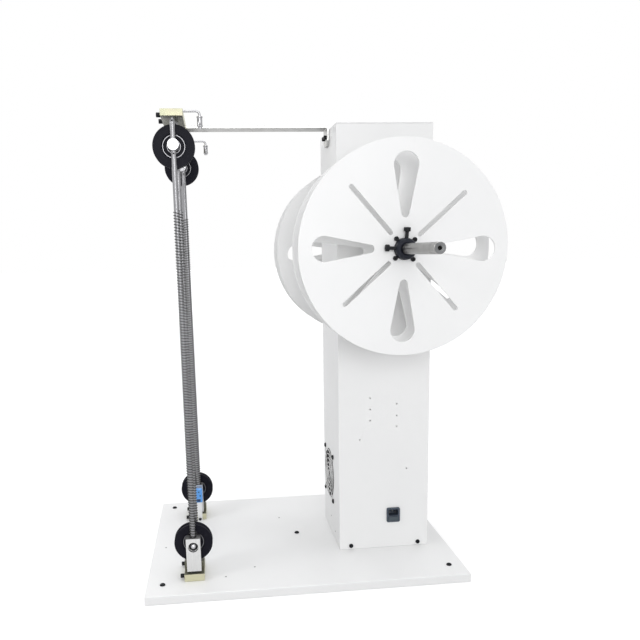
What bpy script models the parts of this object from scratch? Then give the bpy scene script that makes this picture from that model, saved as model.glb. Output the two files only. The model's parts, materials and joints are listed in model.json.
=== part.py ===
"""Double-sided cable drum stand with a motor column and two sprung dancer towers.

Metres, +Z up, front of the stand towards -Y. The origin lies on the floor, under the middle of its box.
Everything that the stand has twice, front and rear, is made by one function that is given its side, -1 or +1.
"""
import bpy
import bmesh
from math import cos, sin, pi, radians, acos, atan2, hypot
from mathutils import Matrix, Vector

# Clearances and shared cuts
GAP = 0.0003
RUNNING = 0.0004
OVERRUN = 0.003

# Base tray
BASE_LEFT = 0.516
BASE_RIGHT = 0.145
BASE_DEPTH = 0.518
BASE_HEIGHT = 0.018
BASE_SHEET = 0.003
BASE_EDGE = 0.0012
BASE_TOP = BASE_HEIGHT

# Column
COLUMN_WIDTH = 0.200
COLUMN_DEPTH = 0.206
COLUMN_TOP = 0.929
COLUMN_SHEET = 0.002
COVER_FLANGE = 0.014
VENT_RADIUS = 0.0016
VENT_PLACES = ((-0.031, 0.362), (-0.031, 0.337), (-0.031, 0.312), (0.028, 0.347), (0.028, 0.321),
               (0.028, 0.297), (-0.054, 0.270), (0.051, 0.200))

# Discs and spindles
DISC_RADIUS = 0.200
DISC_THICK = 0.004
DISC_TILT = radians(-1.0)
INNER_DISC_TILT = radians(2.7)
SLOT_LEAD = radians(2.6)
HUB_TILT = radians(-3.6)
AXIS_HEIGHT = 0.677
SHAFT_RADIUS = 0.010
SHAFT_END_BORE = 0.0032
SHAFT_END_BORE_DEPTH = 0.020
SHAFT_END_BEVEL = 0.001
SHAFT_REACH = 0.359
INNER_DISC_REACH = 0.060
OUTER_DISC_REACH = 0.1515
SHAFT_TAIL = 0.040
HUB_FLANGE_RADIUS = 0.030
HUB_FLANGE_THICK = 0.005
HUB_BOSS_RADIUS = 0.020
HUB_BOSS_LENGTH = 0.013
HUB_PROUD = 0.018
CLAMP_SHARE = 0.5
DROP_OUTER = 0.175
DROP_INNER = 0.057
DROP_BIG = 0.0236
DROP_SMALL = 0.0076
SLOT_INNER = 0.0355
SLOT_OUTER = 0.1555
SLOT_WIDTH = 0.009

# Bearings, bulkheads and drives
BEARING_FLANGE_RADIUS = 0.031
BEARING_FLANGE_THICK = 0.004
BEARING_BOSS_RADIUS = 0.021
BEARING_BOSS_LENGTH = 0.008
BULKHEAD_FACE = 0.048
BULKHEAD_SHEET = 0.003
BULKHEAD_BELOW = 0.237
BULKHEAD_ABOVE = 0.083
SPINDLE_PULLEY_RADIUS = 0.030
DRIVE_WIDTH = 0.014
DRIVE_FACE = 0.080
BELT_WIDTH = 0.010
BELT_THICK = 0.0016
MOTOR_X = 0.042
MOTOR_DROP = 0.160
MOTOR_RADIUS = 0.034
MOTOR_LENGTH = 0.074
MOTOR_SHAFT_RADIUS = 0.004
MOTOR_PULLEY_RADIUS = 0.012
BULKHEAD_HOLE = 0.013

# Electrics inside the column
SUPPLY_SIZE = (0.036, 0.098, 0.150)
SUPPLY_RISE = 0.040
BOARD_SIZE = (0.0016, 0.110, 0.130)
BOARD_RISE = 0.230
BOARD_STANDOFF = 0.010
BOARD_STANDOFF_RADIUS = 0.003
BOARD_STANDOFF_INSET = 0.008
BOARD_PART_SHARES = ((-0.20, 0.35, 0.22), (0.20, 0.68, 0.16), (0.20, 0.28, 0.20))

# Fan on the column's left side
FAN_SIZE = 0.120
FAN_DEPTH = 0.025
FAN_BORE = 0.0565
FAN_OPENING = 0.059
FAN_Y = 0.028
FAN_Z = 0.157
FAN_HUB = 0.020
FAN_BLADE_TIP = 0.054
FAN_BLADES = 7
FAN_BLADE_THICK = 0.0016
FAN_BLADE_CHORD = 0.019
FAN_BLADE_ROOT = 0.004
FAN_BLADE_PITCH = radians(32)
FAN_STRUT = 0.006
FAN_STRUT_THICK = 0.003

# Power inlet with its fuse drawer
INLET_X = 0.021
INLET_Z = 0.094
INLET_SIZE = (0.030, 0.0335)
INLET_RIM = 0.003
INLET_BODY_INSET = 0.002
INLET_DEPTH = 0.028
SOCKET_SIZE = (0.022, 0.0145)
SOCKET_RISE = 0.0056
SOCKET_DEPTH = 0.017
PIN_SIZE = (0.002, 0.011, 0.004)
PIN_SPREAD = 0.0065
PIN_STEP = 0.0036
DRAWER_SIZE = (0.019, 0.008)
DRAWER_DROP = 0.0095
DRAWER_DEPTH = 0.022
DRAWER_LIP = 0.0015

# Dancer towers
TOWER_REACH = 0.4195
TOWER_Y = 0.1665
ROD_OFFSET = 0.0225
INNER_ROD_SHIFT = 0.004
ROD_RADIUS = 0.0048
FOOT_WIDTH = 0.041
FOOT_DEPTH = 0.077
FOOT_HEIGHT = 0.015
CROSS_BAR_HEIGHT = 0.0125
CROSS_BAR_END = 0.205
ROD_SEAT = 0.008
BUMPER_RADIUS = 0.009
BUMPER_HEIGHT = 0.004
BLOCK_WIDTH = 0.029
BLOCK_DEPTH = 0.023
BLOCK_HEIGHT = 0.070
AXLE_RISE_SHARE = 0.74
BLOCK_POCKET_RADIUS = 0.0106
AXLE_RADIUS = 0.006
AXLE_SEAT = 0.0042
PULLEY_RADIUS = 0.0393
PULLEY_THICK = 0.019
PULLEY_HUB_RADIUS = 0.011
PULLEY_GROOVE = 0.009
PULLEY_LIP = 0.003
PULLEY_WEB = 0.008
PULLEY_RIM = 0.0225
UPPER_AXLE_DROP = 0.0612
BOSS_RADIUS = 0.011
STOP_WIDTH = 0.041
STOP_HEIGHT = 0.015
STOP_DEPTH = 0.018

# Springs on the rods, above the carriages
SPRING_WIRE = 0.0014
SPRING_DROP = 0.117
SPRING_CURLS = 12
SPRING_POINTS = 8

# Sensors that see the carriage at its lower end
SENSOR_SIZE = (0.017, 0.010, 0.035)
SENSOR_TOP = 0.103
BRACKET_SIZE = (0.012, 0.002, 0.080)
BRACKET_FOOT = 0.013
SENSOR_SHIFT = 0.005

# Arm from the column to the cross bar, and the wire guides beside the cross bar
ARM_RISE = 0.0075
ARM_THICK = 0.005
ARM_PROUD = 0.0013
ARM_WIDTH = 0.046
ARM_Y = 0.0
ARM_BEND = 0.007
ARM_FLANGE_HEIGHT = 0.033
ARM_CORNER = 0.010
ARM_LAP = 0.036
GUIDE_WIRE_RADIUS = 0.0022
GUIDE_PLACES = {-1: 0.200, 1: 0.145}
GUIDE_REACHES = {-1: 0.030, 1: 0.037}
GUIDE_BEND = 0.006
GUIDE_DROP = 0.0039
GUIDE_HEIGHT = 0.0295
GUIDE_SEAT = 0.004
ROLLER_RADIUS = 0.0054
ROLLER_HEIGHT = 0.018
ROLLER_SEAT_RADIUS = 0.0036
ROLLER_SEAT_HEIGHT = 0.0018

# Clamp screws of the outer hubs
CLAMP_HEAD_RADIUS = 0.0064
CLAMP_HEAD_HEIGHT = 0.007
CLAMP_SHANK_RADIUS = 0.0034
CLAMP_REACH = 0.0322

# Facets of round pieces
FINE = 44
MEDIUM = 18
COARSE = 12
SMALL = 8

# Places worked out from the sizes above
COLUMN_X = (BASE_LEFT - DISC_RADIUS) / 2
TOWER_X = COLUMN_X - TOWER_REACH
FACE = COLUMN_DEPTH / 2
WALL_IN = FACE - COLUMN_SHEET
SIDE_IN = COLUMN_WIDTH / 2 - COLUMN_SHEET
COLUMN_FOOT = BASE_TOP + GAP
SHELL_TOP = COLUMN_TOP - COLUMN_SHEET - GAP
INNER_DISC = FACE + INNER_DISC_REACH
OUTER_DISC = FACE + OUTER_DISC_REACH
SHAFT_END = FACE + SHAFT_REACH
HUB_SEAT = OUTER_DISC - DISC_THICK / 2 - GAP
HUB_TIP = OUTER_DISC + DISC_THICK / 2 + HUB_PROUD
FOOT_BASE = BASE_TOP + GAP
FOOT_TOP = FOOT_BASE + FOOT_HEIGHT
BLOCK_BOTTOM = FOOT_TOP + BUMPER_HEIGHT + GAP
BLOCK_TOP = BLOCK_BOTTOM + BLOCK_HEIGHT
LOWER_AXLE_HEIGHT = BLOCK_BOTTOM + BLOCK_HEIGHT * AXLE_RISE_SHARE
ARM_TOP = COLUMN_TOP + ARM_RISE
ARM_FLANGE_BOTTOM = COLUMN_TOP - ARM_FLANGE_HEIGHT
CROSS_BAR_TOP = ARM_TOP - ARM_PROUD
ARM_LEFT = TOWER_X + FOOT_WIDTH / 2 - ARM_LAP
CROSS_BAR_BOTTOM = CROSS_BAR_TOP - CROSS_BAR_HEIGHT
UPPER_AXLE_HEIGHT = CROSS_BAR_TOP - UPPER_AXLE_DROP
SPRING_TOP = UPPER_AXLE_HEIGHT - SPRING_DROP
GUIDE_Z = CROSS_BAR_TOP - GUIDE_DROP
GUIDE_BOTTOM = GUIDE_Z - GUIDE_HEIGHT
BULKHEAD_BOTTOM = AXIS_HEIGHT - BULKHEAD_BELOW
BULKHEAD_TOP = AXIS_HEIGHT + BULKHEAD_ABOVE
MOTOR_Z = AXIS_HEIGHT - MOTOR_DROP
SIDES = (("front", -1), ("rear", 1))


def clear_scene():
    for item in list(bpy.data.objects):
        bpy.data.objects.remove(item, do_unlink=True)


def material(name, colour, roughness, metallic):
    made = bpy.data.materials.new(name)
    made.use_nodes = True
    shader = made.node_tree.nodes["Principled BSDF"]
    shader.inputs["Base Color"].default_value = (*colour, 1.0)
    shader.inputs["Roughness"].default_value = roughness
    shader.inputs["Metallic"].default_value = metallic
    return made


clear_scene()
WHITE_PAINT = material("white_powder_coat", (0.84, 0.84, 0.84), 0.45, 0.0)
DISC_WHITE = material("white_disc", (0.88, 0.88, 0.88), 0.35, 0.0)
BLACK_RUBBER = material("black_rubber", (0.02, 0.02, 0.02), 0.85, 0.0)
BLACK_OXIDE = material("black_oxide_steel", (0.025, 0.025, 0.028), 0.45, 0.8)
BLACK_PLASTIC = material("black_plastic", (0.018, 0.018, 0.020), 0.4, 0.0)
BRIGHT_STEEL = material("bright_steel", (0.62, 0.62, 0.61), 0.25, 1.0)
ALUMINIUM = material("aluminium", (0.74, 0.74, 0.73), 0.35, 1.0)
SPRING_STEEL = material("spring_steel", (0.42, 0.42, 0.41), 0.35, 1.0)
YELLOW_ZINC = material("yellow_zinc", (0.62, 0.56, 0.30), 0.35, 0.9)
CHROME = material("chrome", (0.80, 0.80, 0.80), 0.12, 1.0)
BLUE_PLASTIC = material("blue_plastic", (0.08, 0.25, 0.60), 0.4, 0.0)
MOTOR_GREY = material("motor_grey", (0.20, 0.20, 0.21), 0.5, 0.3)
BOARD_GREEN = material("board_green", (0.03, 0.20, 0.08), 0.5, 0.0)


def finish(name, bm, look, smooth=True):
    """Turn a bmesh into a named object whose faces point outwards."""
    bmesh.ops.recalc_face_normals(bm, faces=bm.faces)
    mesh = bpy.data.meshes.new(name)
    bm.to_mesh(mesh)
    bm.free()
    item = bpy.data.objects.new(name, mesh)
    bpy.context.scene.collection.objects.link(item)
    if look:
        mesh.materials.append(look)
    if smooth:
        mesh.shade_smooth()
        mesh.set_sharp_from_angle(angle=radians(35))
    return item


def cut(item, bm, kind="DIFFERENCE"):
    """Give an object a Boolean whose other operand is drawn as a wire and left out of the build."""
    tool = finish(item.name + "_cutter", bm, None, smooth=False)
    tool.hide_render = True
    tool.display_type = "WIRE"
    modifier = item.modifiers.new(kind.lower(), "BOOLEAN")
    modifier.operation = kind
    modifier.object = tool
    modifier.solver = "EXACT"


def block(bm, low, high):
    """A cuboid between two corners, given in any order."""
    size = [abs(b - a) for a, b in zip(low, high)]
    centre = [(a + b) / 2 for a, b in zip(low, high)]
    place = Matrix.Translation(centre) @ Matrix.Diagonal((*size, 1))
    return bmesh.ops.create_cube(bm, size=1.0, matrix=place)["verts"]


def frame_for(centre, direction):
    """A matrix that carries local +Z onto the direction, at the centre."""
    turn = Vector((0, 0, 1)).rotation_difference(Vector(direction)).to_matrix().to_4x4()
    return Matrix.Translation(centre) @ turn


def turned(bm, profile, centre, direction, segments):
    """Turn a closed outline of (radius, height) points about the direction through the centre."""
    points = [bm.verts.new((r, 0.0, h)) for r, h in profile]
    edges = [bm.edges.new((a, b)) for a, b in zip(points, points[1:] + points[:1])]
    made = bmesh.ops.spin(bm, geom=points + edges, cent=(0, 0, 0), axis=(0, 0, 1), dvec=(0, 0, 0),
                          angle=2 * pi, steps=segments, use_merge=True)
    verts = set(points) | {v for v in made["geom_last"] if isinstance(v, bmesh.types.BMVert)}
    linked = list(verts)
    for v in linked:
        for e in v.link_edges:
            other = e.other_vert(v)
            if other not in verts:
                verts.add(other)
                linked.append(other)
    bmesh.ops.transform(bm, matrix=frame_for(centre, direction), verts=list(verts))
    return list(verts)


def rod(bm, centre, direction, low, high, radius, segments):
    """A plain cylinder from low to high along the direction, measured from the centre."""
    place = frame_for(centre, direction) @ Matrix.Translation((0, 0, (low + high) / 2))
    bmesh.ops.create_cone(bm, cap_ends=True, segments=segments, radius1=radius, radius2=radius,
                          depth=high - low, matrix=place)


def slab(bm, outline, place, thickness):
    """Extrude a flat outline of (u, v) points through a thickness, centred on its plane."""
    verts = [bm.verts.new(place @ Vector((u, v, -thickness / 2))) for u, v in outline]
    face = bm.faces.new(verts)
    grown = bmesh.ops.extrude_face_region(bm, geom=[face])["geom"]
    shift = place.to_3x3() @ Vector((0, 0, thickness))
    bmesh.ops.translate(bm, vec=shift, verts=[v for v in grown if isinstance(v, bmesh.types.BMVert)])


def loop_band(bm, first, r1, second, r2, thickness, low, high, segments):
    """A belt round two circles in the XZ plane, between two Y values."""
    gap = Vector((second[0] - first[0], second[1] - first[1]))
    lean = atan2(gap.y, gap.x)
    spread = acos((r1 - r2) / gap.length)
    loops = []
    for grow in (0.0, thickness):
        ring = []
        for centre, radius, start, sweep in ((first, r1, lean + spread, 2 * pi - 2 * spread),
                                             (second, r2, lean - spread, 2 * spread)):
            for k in range(segments + 1):
                angle = start + sweep * k / segments
                reach = radius + grow
                ring.append((centre[0] + reach * cos(angle), centre[1] + reach * sin(angle)))
        loops.append(ring)
    rows = [[bm.verts.new((x, y, z)) for x, z in ring] for ring in loops for y in (low, high)]
    inner_low, inner_high, outer_low, outer_high = rows
    round_section = [inner_low, inner_high, outer_high, outer_low]
    for k in range(len(inner_low)):
        n = (k + 1) % len(inner_low)
        for a, b in zip(round_section, round_section[1:] + round_section[:1]):
            bm.faces.new((a[k], a[n], b[n], b[k]))


def ring_profile(inner, outer, low, high):
    return ((inner, low), (outer, low), (outer, high), (inner, high))


def at_side(side, x, depth, z):
    """A point at a distance in front of (side -1) or behind (side +1) the column's middle plane."""
    return (x, side * depth, z)


def make_base():
    low = (COLUMN_X - BASE_LEFT, -BASE_DEPTH / 2, 0.0)
    high = (COLUMN_X + BASE_RIGHT, BASE_DEPTH / 2, BASE_TOP)
    bm = bmesh.new()
    block(bm, low, high)
    bmesh.ops.bevel(bm, geom=bm.edges[:], offset=BASE_EDGE, segments=2, affect="EDGES", profile=0.5)
    tray = finish("base_plate", bm, WHITE_PAINT)
    bm = bmesh.new()
    wall = BASE_SHEET
    block(bm, (low[0] + wall, low[1] + wall, -OVERRUN), (high[0] - wall, high[1] - wall, BASE_TOP - wall))
    cut(tray, bm)


def make_column():
    x0, x1 = COLUMN_X - COLUMN_WIDTH / 2, COLUMN_X + COLUMN_WIDTH / 2
    bm = bmesh.new()
    block(bm, (x0, -FACE, COLUMN_FOOT), (x1, FACE, SHELL_TOP))
    shell = finish("column_shell", bm, WHITE_PAINT)
    rim = COLUMN_SHEET + COVER_FLANGE
    bm = bmesh.new()
    flange_front = WALL_IN - GAP - COLUMN_SHEET
    block(bm, (x0 + COLUMN_SHEET, -WALL_IN, COLUMN_FOOT + COLUMN_SHEET),
          (x1 - COLUMN_SHEET, flange_front, SHELL_TOP + OVERRUN))
    cut(shell, bm)
    bm = bmesh.new()
    block(bm, (x0 + rim, -FACE + rim, COLUMN_FOOT - OVERRUN), (x1 - rim, FACE + OVERRUN, SHELL_TOP + OVERRUN))
    cut(shell, bm)
    bm = bmesh.new()
    block(bm, (x0 + COLUMN_SHEET, WALL_IN - GAP, COLUMN_FOOT - OVERRUN),
          (x1 - COLUMN_SHEET, FACE + OVERRUN, SHELL_TOP + OVERRUN))
    cut(shell, bm)

    bm = bmesh.new()
    hole = SHAFT_RADIUS + OVERRUN
    rod(bm, (COLUMN_X, -FACE, AXIS_HEIGHT), (0, 1, 0), -OVERRUN, COLUMN_SHEET + OVERRUN, hole, COARSE)
    opening = [s - 2 * (INLET_BODY_INSET - GAP) for s in INLET_SIZE]
    block(bm, (COLUMN_X + INLET_X - opening[0] / 2, -FACE - OVERRUN, INLET_Z - opening[1] / 2),
          (COLUMN_X + INLET_X + opening[0] / 2, -WALL_IN + OVERRUN, INLET_Z + opening[1] / 2))
    rod(bm, (x0, FAN_Y, FAN_Z), (1, 0, 0), -OVERRUN, COLUMN_SHEET + OVERRUN, FAN_OPENING, MEDIUM)
    for x, z in VENT_PLACES:
        rod(bm, (COLUMN_X + x, -FACE, z), (0, 1, 0), -OVERRUN, COLUMN_SHEET + OVERRUN, VENT_RADIUS, SMALL)
    cut(shell, bm)

    bm = bmesh.new()
    block(bm, (x0 + COLUMN_SHEET + GAP, WALL_IN, COLUMN_FOOT), (x1 - COLUMN_SHEET - GAP, FACE, SHELL_TOP))
    cover = finish("rear_cover", bm, WHITE_PAINT)
    bm = bmesh.new()
    rod(bm, (COLUMN_X, FACE, AXIS_HEIGHT), (0, 1, 0), -COLUMN_SHEET - OVERRUN, OVERRUN, hole, COARSE)
    cut(cover, bm)

    bm = bmesh.new()
    block(bm, (x0, -FACE, COLUMN_TOP - COLUMN_SHEET), (x1, FACE, COLUMN_TOP))
    cap = finish("top_cap", bm, WHITE_PAINT)
    skirt = COLUMN_SHEET + GAP
    bm = bmesh.new()
    rim_low = COLUMN_TOP - COVER_FLANGE
    block(bm, (x0 + skirt, -WALL_IN + GAP, rim_low),
          (x1 - skirt, FACE - 3 * skirt, COLUMN_TOP - COLUMN_SHEET / 2))
    cut(cap, bm, "UNION")
    bm = bmesh.new()
    block(bm, (x0 + 2 * skirt, -WALL_IN + GAP + skirt, rim_low - OVERRUN),
          (x1 - 2 * skirt, FACE - 4 * skirt, COLUMN_TOP - COLUMN_SHEET))
    cut(cap, bm)


def make_bearings_and_bulkhead(name, side):
    bore = SHAFT_RADIUS + RUNNING
    end = BEARING_FLANGE_THICK + BEARING_BOSS_LENGTH
    profile = ((bore, 0.0), (BEARING_FLANGE_RADIUS, 0.0), (BEARING_FLANGE_RADIUS, BEARING_FLANGE_THICK),
               (BEARING_BOSS_RADIUS, BEARING_FLANGE_THICK), (BEARING_BOSS_RADIUS, end), (bore, end))
    bm = bmesh.new()
    turned(bm, profile, at_side(side, COLUMN_X, WALL_IN - GAP, AXIS_HEIGHT), (0, -side, 0), MEDIUM)
    finish(name + "_wall_bearing", bm, BRIGHT_STEEL)
    bm = bmesh.new()
    turned(bm, profile, at_side(side, COLUMN_X, BULKHEAD_FACE + GAP, AXIS_HEIGHT), (0, side, 0), MEDIUM)
    finish(name + "_inner_bearing", bm, BRIGHT_STEEL)

    bm = bmesh.new()
    block(bm, at_side(side, COLUMN_X - SIDE_IN + GAP, BULKHEAD_FACE - BULKHEAD_SHEET, BULKHEAD_BOTTOM),
          at_side(side, COLUMN_X + SIDE_IN - GAP, BULKHEAD_FACE, BULKHEAD_TOP))
    plate = finish(name + "_bulkhead", bm, BRIGHT_STEEL)
    bm = bmesh.new()
    for x, z in ((COLUMN_X, AXIS_HEIGHT), (COLUMN_X + side * MOTOR_X, MOTOR_Z)):
        face = at_side(side, x, BULKHEAD_FACE, z)
        rod(bm, face, (0, side, 0), -BULKHEAD_SHEET - OVERRUN, OVERRUN, BULKHEAD_HOLE, COARSE)
    cut(plate, bm)


def make_drive(name, side):
    x = COLUMN_X + side * MOTOR_X
    face = BULKHEAD_FACE - BULKHEAD_SHEET - GAP
    tip = DRIVE_FACE - face
    profile = ((0.0, -MOTOR_LENGTH), (MOTOR_RADIUS, -MOTOR_LENGTH), (MOTOR_RADIUS, 0.0),
               (MOTOR_SHAFT_RADIUS, 0.0), (MOTOR_SHAFT_RADIUS, tip), (0.0, tip))
    bm = bmesh.new()
    turned(bm, profile, at_side(side, x, face, MOTOR_Z), (0, side, 0), MEDIUM)
    finish(name + "_motor", bm, MOTOR_GREY)

    bm = bmesh.new()
    middle = DRIVE_FACE - DRIVE_WIDTH / 2
    low, high = sorted((side * (middle - BELT_WIDTH / 2), side * (middle + BELT_WIDTH / 2)))
    loop_band(bm, (COLUMN_X, AXIS_HEIGHT), SPINDLE_PULLEY_RADIUS + GAP,
              (x, MOTOR_Z), MOTOR_PULLEY_RADIUS + GAP, BELT_THICK, low, high, MEDIUM)
    finish(name + "_belt", bm, BLACK_RUBBER)

    bm = bmesh.new()
    drive_pulley(bm, side, COLUMN_X, AXIS_HEIGHT, SPINDLE_PULLEY_RADIUS, SHAFT_RADIUS + GAP, MEDIUM)
    finish(name + "_spindle_pulley", bm, ALUMINIUM)
    bm = bmesh.new()
    drive_pulley(bm, side, x, MOTOR_Z, MOTOR_PULLEY_RADIUS, MOTOR_SHAFT_RADIUS + RUNNING, COARSE)
    finish(name + "_motor_pulley", bm, ALUMINIUM)


def drive_pulley(bm, side, x, z, radius, bore, segments):
    """A belt pulley with a low flange on each side of its belt track."""
    half = DRIVE_WIDTH / 2
    track = BELT_WIDTH / 2 + GAP
    lip = radius + BELT_THICK
    profile = ((bore, -half), (lip, -half), (lip, -track), (radius, -track), (radius, track), (lip, track),
               (lip, half), (bore, half))
    turned(bm, profile, at_side(side, x, DRIVE_FACE - half, z), (0, side, 0), segments)


def disc_opening_outlines(tilt, lead):
    """The teardrops and slots of a disc, as flat outlines about its centre, the slots turned on by a lead."""
    outlines = []
    far = DROP_OUTER - DROP_BIG
    near = DROP_INNER + DROP_SMALL
    spread = acos((DROP_BIG - DROP_SMALL) / (far - near))
    for quarter in range(4):
        turn = quarter * pi / 2 + tilt
        drop = []
        for k in range(11):
            angle = -(pi - spread) + 2 * (pi - spread) * k / 10
            drop.append((far + DROP_BIG * cos(angle), DROP_BIG * sin(angle)))
        for k in range(5):
            angle = (pi - spread) + 2 * spread * k / 4
            drop.append((near + DROP_SMALL * cos(angle), DROP_SMALL * sin(angle)))
        slot = []
        for centre, start in ((SLOT_OUTER - SLOT_WIDTH / 2, -pi / 2), (SLOT_INNER + SLOT_WIDTH / 2, pi / 2)):
            for k in range(6):
                angle = start + pi * k / 5
                slot.append((centre + SLOT_WIDTH / 2 * cos(angle), SLOT_WIDTH / 2 * sin(angle)))
        for outline, lean in ((drop, turn), (slot, turn + pi / 4 + lead)):
            c, s = cos(lean), sin(lean)
            outlines.append([(u * c - v * s, u * s + v * c) for u, v in outline])
    return outlines


def make_disc(name, side, depth, bore, tilt, lead):
    place = Matrix.Translation(at_side(side, COLUMN_X, depth, AXIS_HEIGHT)) @ Matrix.Rotation(pi / 2, 4, "X")
    bm = bmesh.new()
    rim = [(DISC_RADIUS * cos(2 * pi * k / FINE), DISC_RADIUS * sin(2 * pi * k / FINE)) for k in range(FINE)]
    slab(bm, rim, place, DISC_THICK)
    disc = finish(name, bm, DISC_WHITE)
    bm = bmesh.new()
    for outline in disc_opening_outlines(tilt, lead):
        slab(bm, outline, place, DISC_THICK + 2 * OVERRUN)
    middle = at_side(side, COLUMN_X, depth, AXIS_HEIGHT)
    corners = bore / cos(pi / MEDIUM)
    rod(bm, middle, (0, 1, 0), -OVERRUN - DISC_THICK, OVERRUN + DISC_THICK, corners, MEDIUM)
    cut(disc, bm)


def make_spindle(name, side):
    seat = INNER_DISC - DISC_THICK / 2 - GAP
    flange = seat - HUB_FLANGE_THICK
    boss = flange - HUB_BOSS_LENGTH
    profile = ((0.0, SHAFT_TAIL), (SHAFT_RADIUS, SHAFT_TAIL), (SHAFT_RADIUS, boss), (HUB_BOSS_RADIUS, boss),
               (HUB_BOSS_RADIUS, flange), (HUB_FLANGE_RADIUS, flange), (HUB_FLANGE_RADIUS, seat),
               (SHAFT_RADIUS, seat),
               (SHAFT_RADIUS, SHAFT_END - SHAFT_END_BEVEL), (SHAFT_RADIUS - SHAFT_END_BEVEL, SHAFT_END),
               (SHAFT_END_BORE, SHAFT_END), (SHAFT_END_BORE, SHAFT_END - SHAFT_END_BORE_DEPTH),
               (0.0, SHAFT_END - SHAFT_END_BORE_DEPTH))
    bm = bmesh.new()
    turned(bm, profile, (COLUMN_X, 0.0, AXIS_HEIGHT), (0, side, 0), MEDIUM)
    finish(name + "_shaft", bm, BRIGHT_STEEL)

    make_disc(name + "_inner_disc", side, INNER_DISC, SHAFT_RADIUS + GAP, INNER_DISC_TILT, SLOT_LEAD)
    make_disc(name + "_outer_disc", side, OUTER_DISC, HUB_BOSS_RADIUS + GAP, DISC_TILT, -SLOT_LEAD)

    bore = SHAFT_RADIUS + RUNNING
    back = HUB_SEAT - HUB_FLANGE_THICK
    profile = ((bore, back), (HUB_FLANGE_RADIUS, back), (HUB_FLANGE_RADIUS, HUB_SEAT),
               (HUB_BOSS_RADIUS, HUB_SEAT), (HUB_BOSS_RADIUS, HUB_TIP), (bore, HUB_TIP))
    bm = bmesh.new()
    turned(bm, profile, (COLUMN_X, 0.0, AXIS_HEIGHT), (0, side, 0), MEDIUM)
    hub = finish(name + "_outer_hub", bm, BLACK_OXIDE)
    inner = SHAFT_RADIUS + 2 * RUNNING
    profile = ((0.0, inner), (CLAMP_SHANK_RADIUS, inner), (CLAMP_SHANK_RADIUS, CLAMP_REACH),
               (CLAMP_HEAD_RADIUS, CLAMP_REACH), (CLAMP_HEAD_RADIUS, CLAMP_REACH + CLAMP_HEAD_HEIGHT),
               (0.0, CLAMP_REACH + CLAMP_HEAD_HEIGHT))
    bm = bmesh.new()
    depth = HUB_TIP - HUB_PROUD * CLAMP_SHARE
    for quarter in (pi / 2, pi):
        lean = quarter + HUB_TILT
        turned(bm, profile, at_side(side, COLUMN_X, depth, AXIS_HEIGHT), (cos(lean), 0, sin(lean)), COARSE)
    cut(hub, bm, "UNION")


def make_electrics():
    wall = COLUMN_X + SIDE_IN - GAP
    depth, width, height = SUPPLY_SIZE
    bm = bmesh.new()
    low = BASE_TOP + SUPPLY_RISE
    block(bm, (wall - depth, -width / 2, low), (wall, width / 2, low + height))
    finish("power_supply", bm, ALUMINIUM, smooth=False)
    thick, width, height = BOARD_SIZE
    low = BASE_TOP + BOARD_RISE
    face = wall - BOARD_STANDOFF
    bm = bmesh.new()
    block(bm, (face - thick, -width / 2, low), (face, width / 2, low + height))
    board = finish("control_board", bm, BOARD_GREEN, smooth=False)
    bm = bmesh.new()
    for y_share, z_share, size_share in BOARD_PART_SHARES:
        half_y, half_z = size_share * width / 2, size_share * height / 2
        y, z = y_share * width, low + z_share * height
        block(bm, (face - thick - BOARD_STANDOFF, y - half_y, z - half_z),
              (face - thick / 2, y + half_y, z + half_z))
    inset = BOARD_STANDOFF_INSET
    for y in (-width / 2 + inset, width / 2 - inset):
        for z in (low + inset, low + height - inset):
            rod(bm, (face, y, z), (1, 0, 0), -thick / 2, BOARD_STANDOFF, BOARD_STANDOFF_RADIUS, SMALL)
    cut(board, bm, "UNION")


def make_fan():
    x0 = COLUMN_X - SIDE_IN + GAP
    half = FAN_SIZE / 2
    bm = bmesh.new()
    block(bm, (x0, FAN_Y - half, FAN_Z - half), (x0 + FAN_DEPTH, FAN_Y + half, FAN_Z + half))
    housing = finish("fan_housing", bm, BLACK_PLASTIC)
    bm = bmesh.new()
    rod(bm, (x0, FAN_Y, FAN_Z), (1, 0, 0), -OVERRUN, FAN_DEPTH - FAN_STRUT_THICK, FAN_BORE, MEDIUM)
    cut(housing, bm)
    bm = bmesh.new()
    back_face = Matrix.Translation((x0 + FAN_DEPTH, FAN_Y, FAN_Z)) @ Matrix.Rotation(pi / 2, 4, "Y")
    for quarter in range(4):
        slab(bm, fan_window(quarter * pi / 2), back_face, 4 * FAN_STRUT_THICK)
    cut(housing, bm)

    bm = bmesh.new()
    front = x0 + FAN_STRUT_THICK
    back = x0 + FAN_DEPTH - FAN_STRUT_THICK - GAP
    rod(bm, (front, FAN_Y, FAN_Z), (1, 0, 0), 0.0, back - front, FAN_HUB, MEDIUM)
    rotor = finish("fan_rotor", bm, BLACK_PLASTIC)
    bm = bmesh.new()
    middle = (front + back) / 2
    root = FAN_HUB - FAN_BLADE_ROOT
    for k in range(FAN_BLADES):
        spin = Matrix.Rotation(2 * pi * k / FAN_BLADES, 4, "X")
        pitch = Matrix.Rotation(FAN_BLADE_PITCH, 4, "Z")
        size = Matrix.Diagonal((FAN_BLADE_THICK, FAN_BLADE_CHORD, FAN_BLADE_TIP - root, 1))
        out = Matrix.Translation((0, 0, (root + FAN_BLADE_TIP) / 2))
        centre = Matrix.Translation((middle, FAN_Y, FAN_Z))
        bmesh.ops.create_cube(bm, size=1.0, matrix=centre @ spin @ out @ pitch @ size)
    cut(rotor, bm, "UNION")


def fan_window(turn):
    """The outline of one opening in the fan's back, between two struts, the hub plate and the bore."""
    spread_in = pi / 4 - FAN_STRUT / (2 * FAN_HUB)
    spread_out = pi / 4 - FAN_STRUT / (2 * FAN_BORE)
    rim = FAN_BORE - FAN_STRUT / 2
    points = [(rim, spread_out * k / 3) for k in range(-3, 4)]
    points += [(FAN_HUB, spread_in * k / 2) for k in range(2, -3, -1)]
    return [(r * cos(a + turn), r * sin(a + turn)) for r, a in points]


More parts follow.
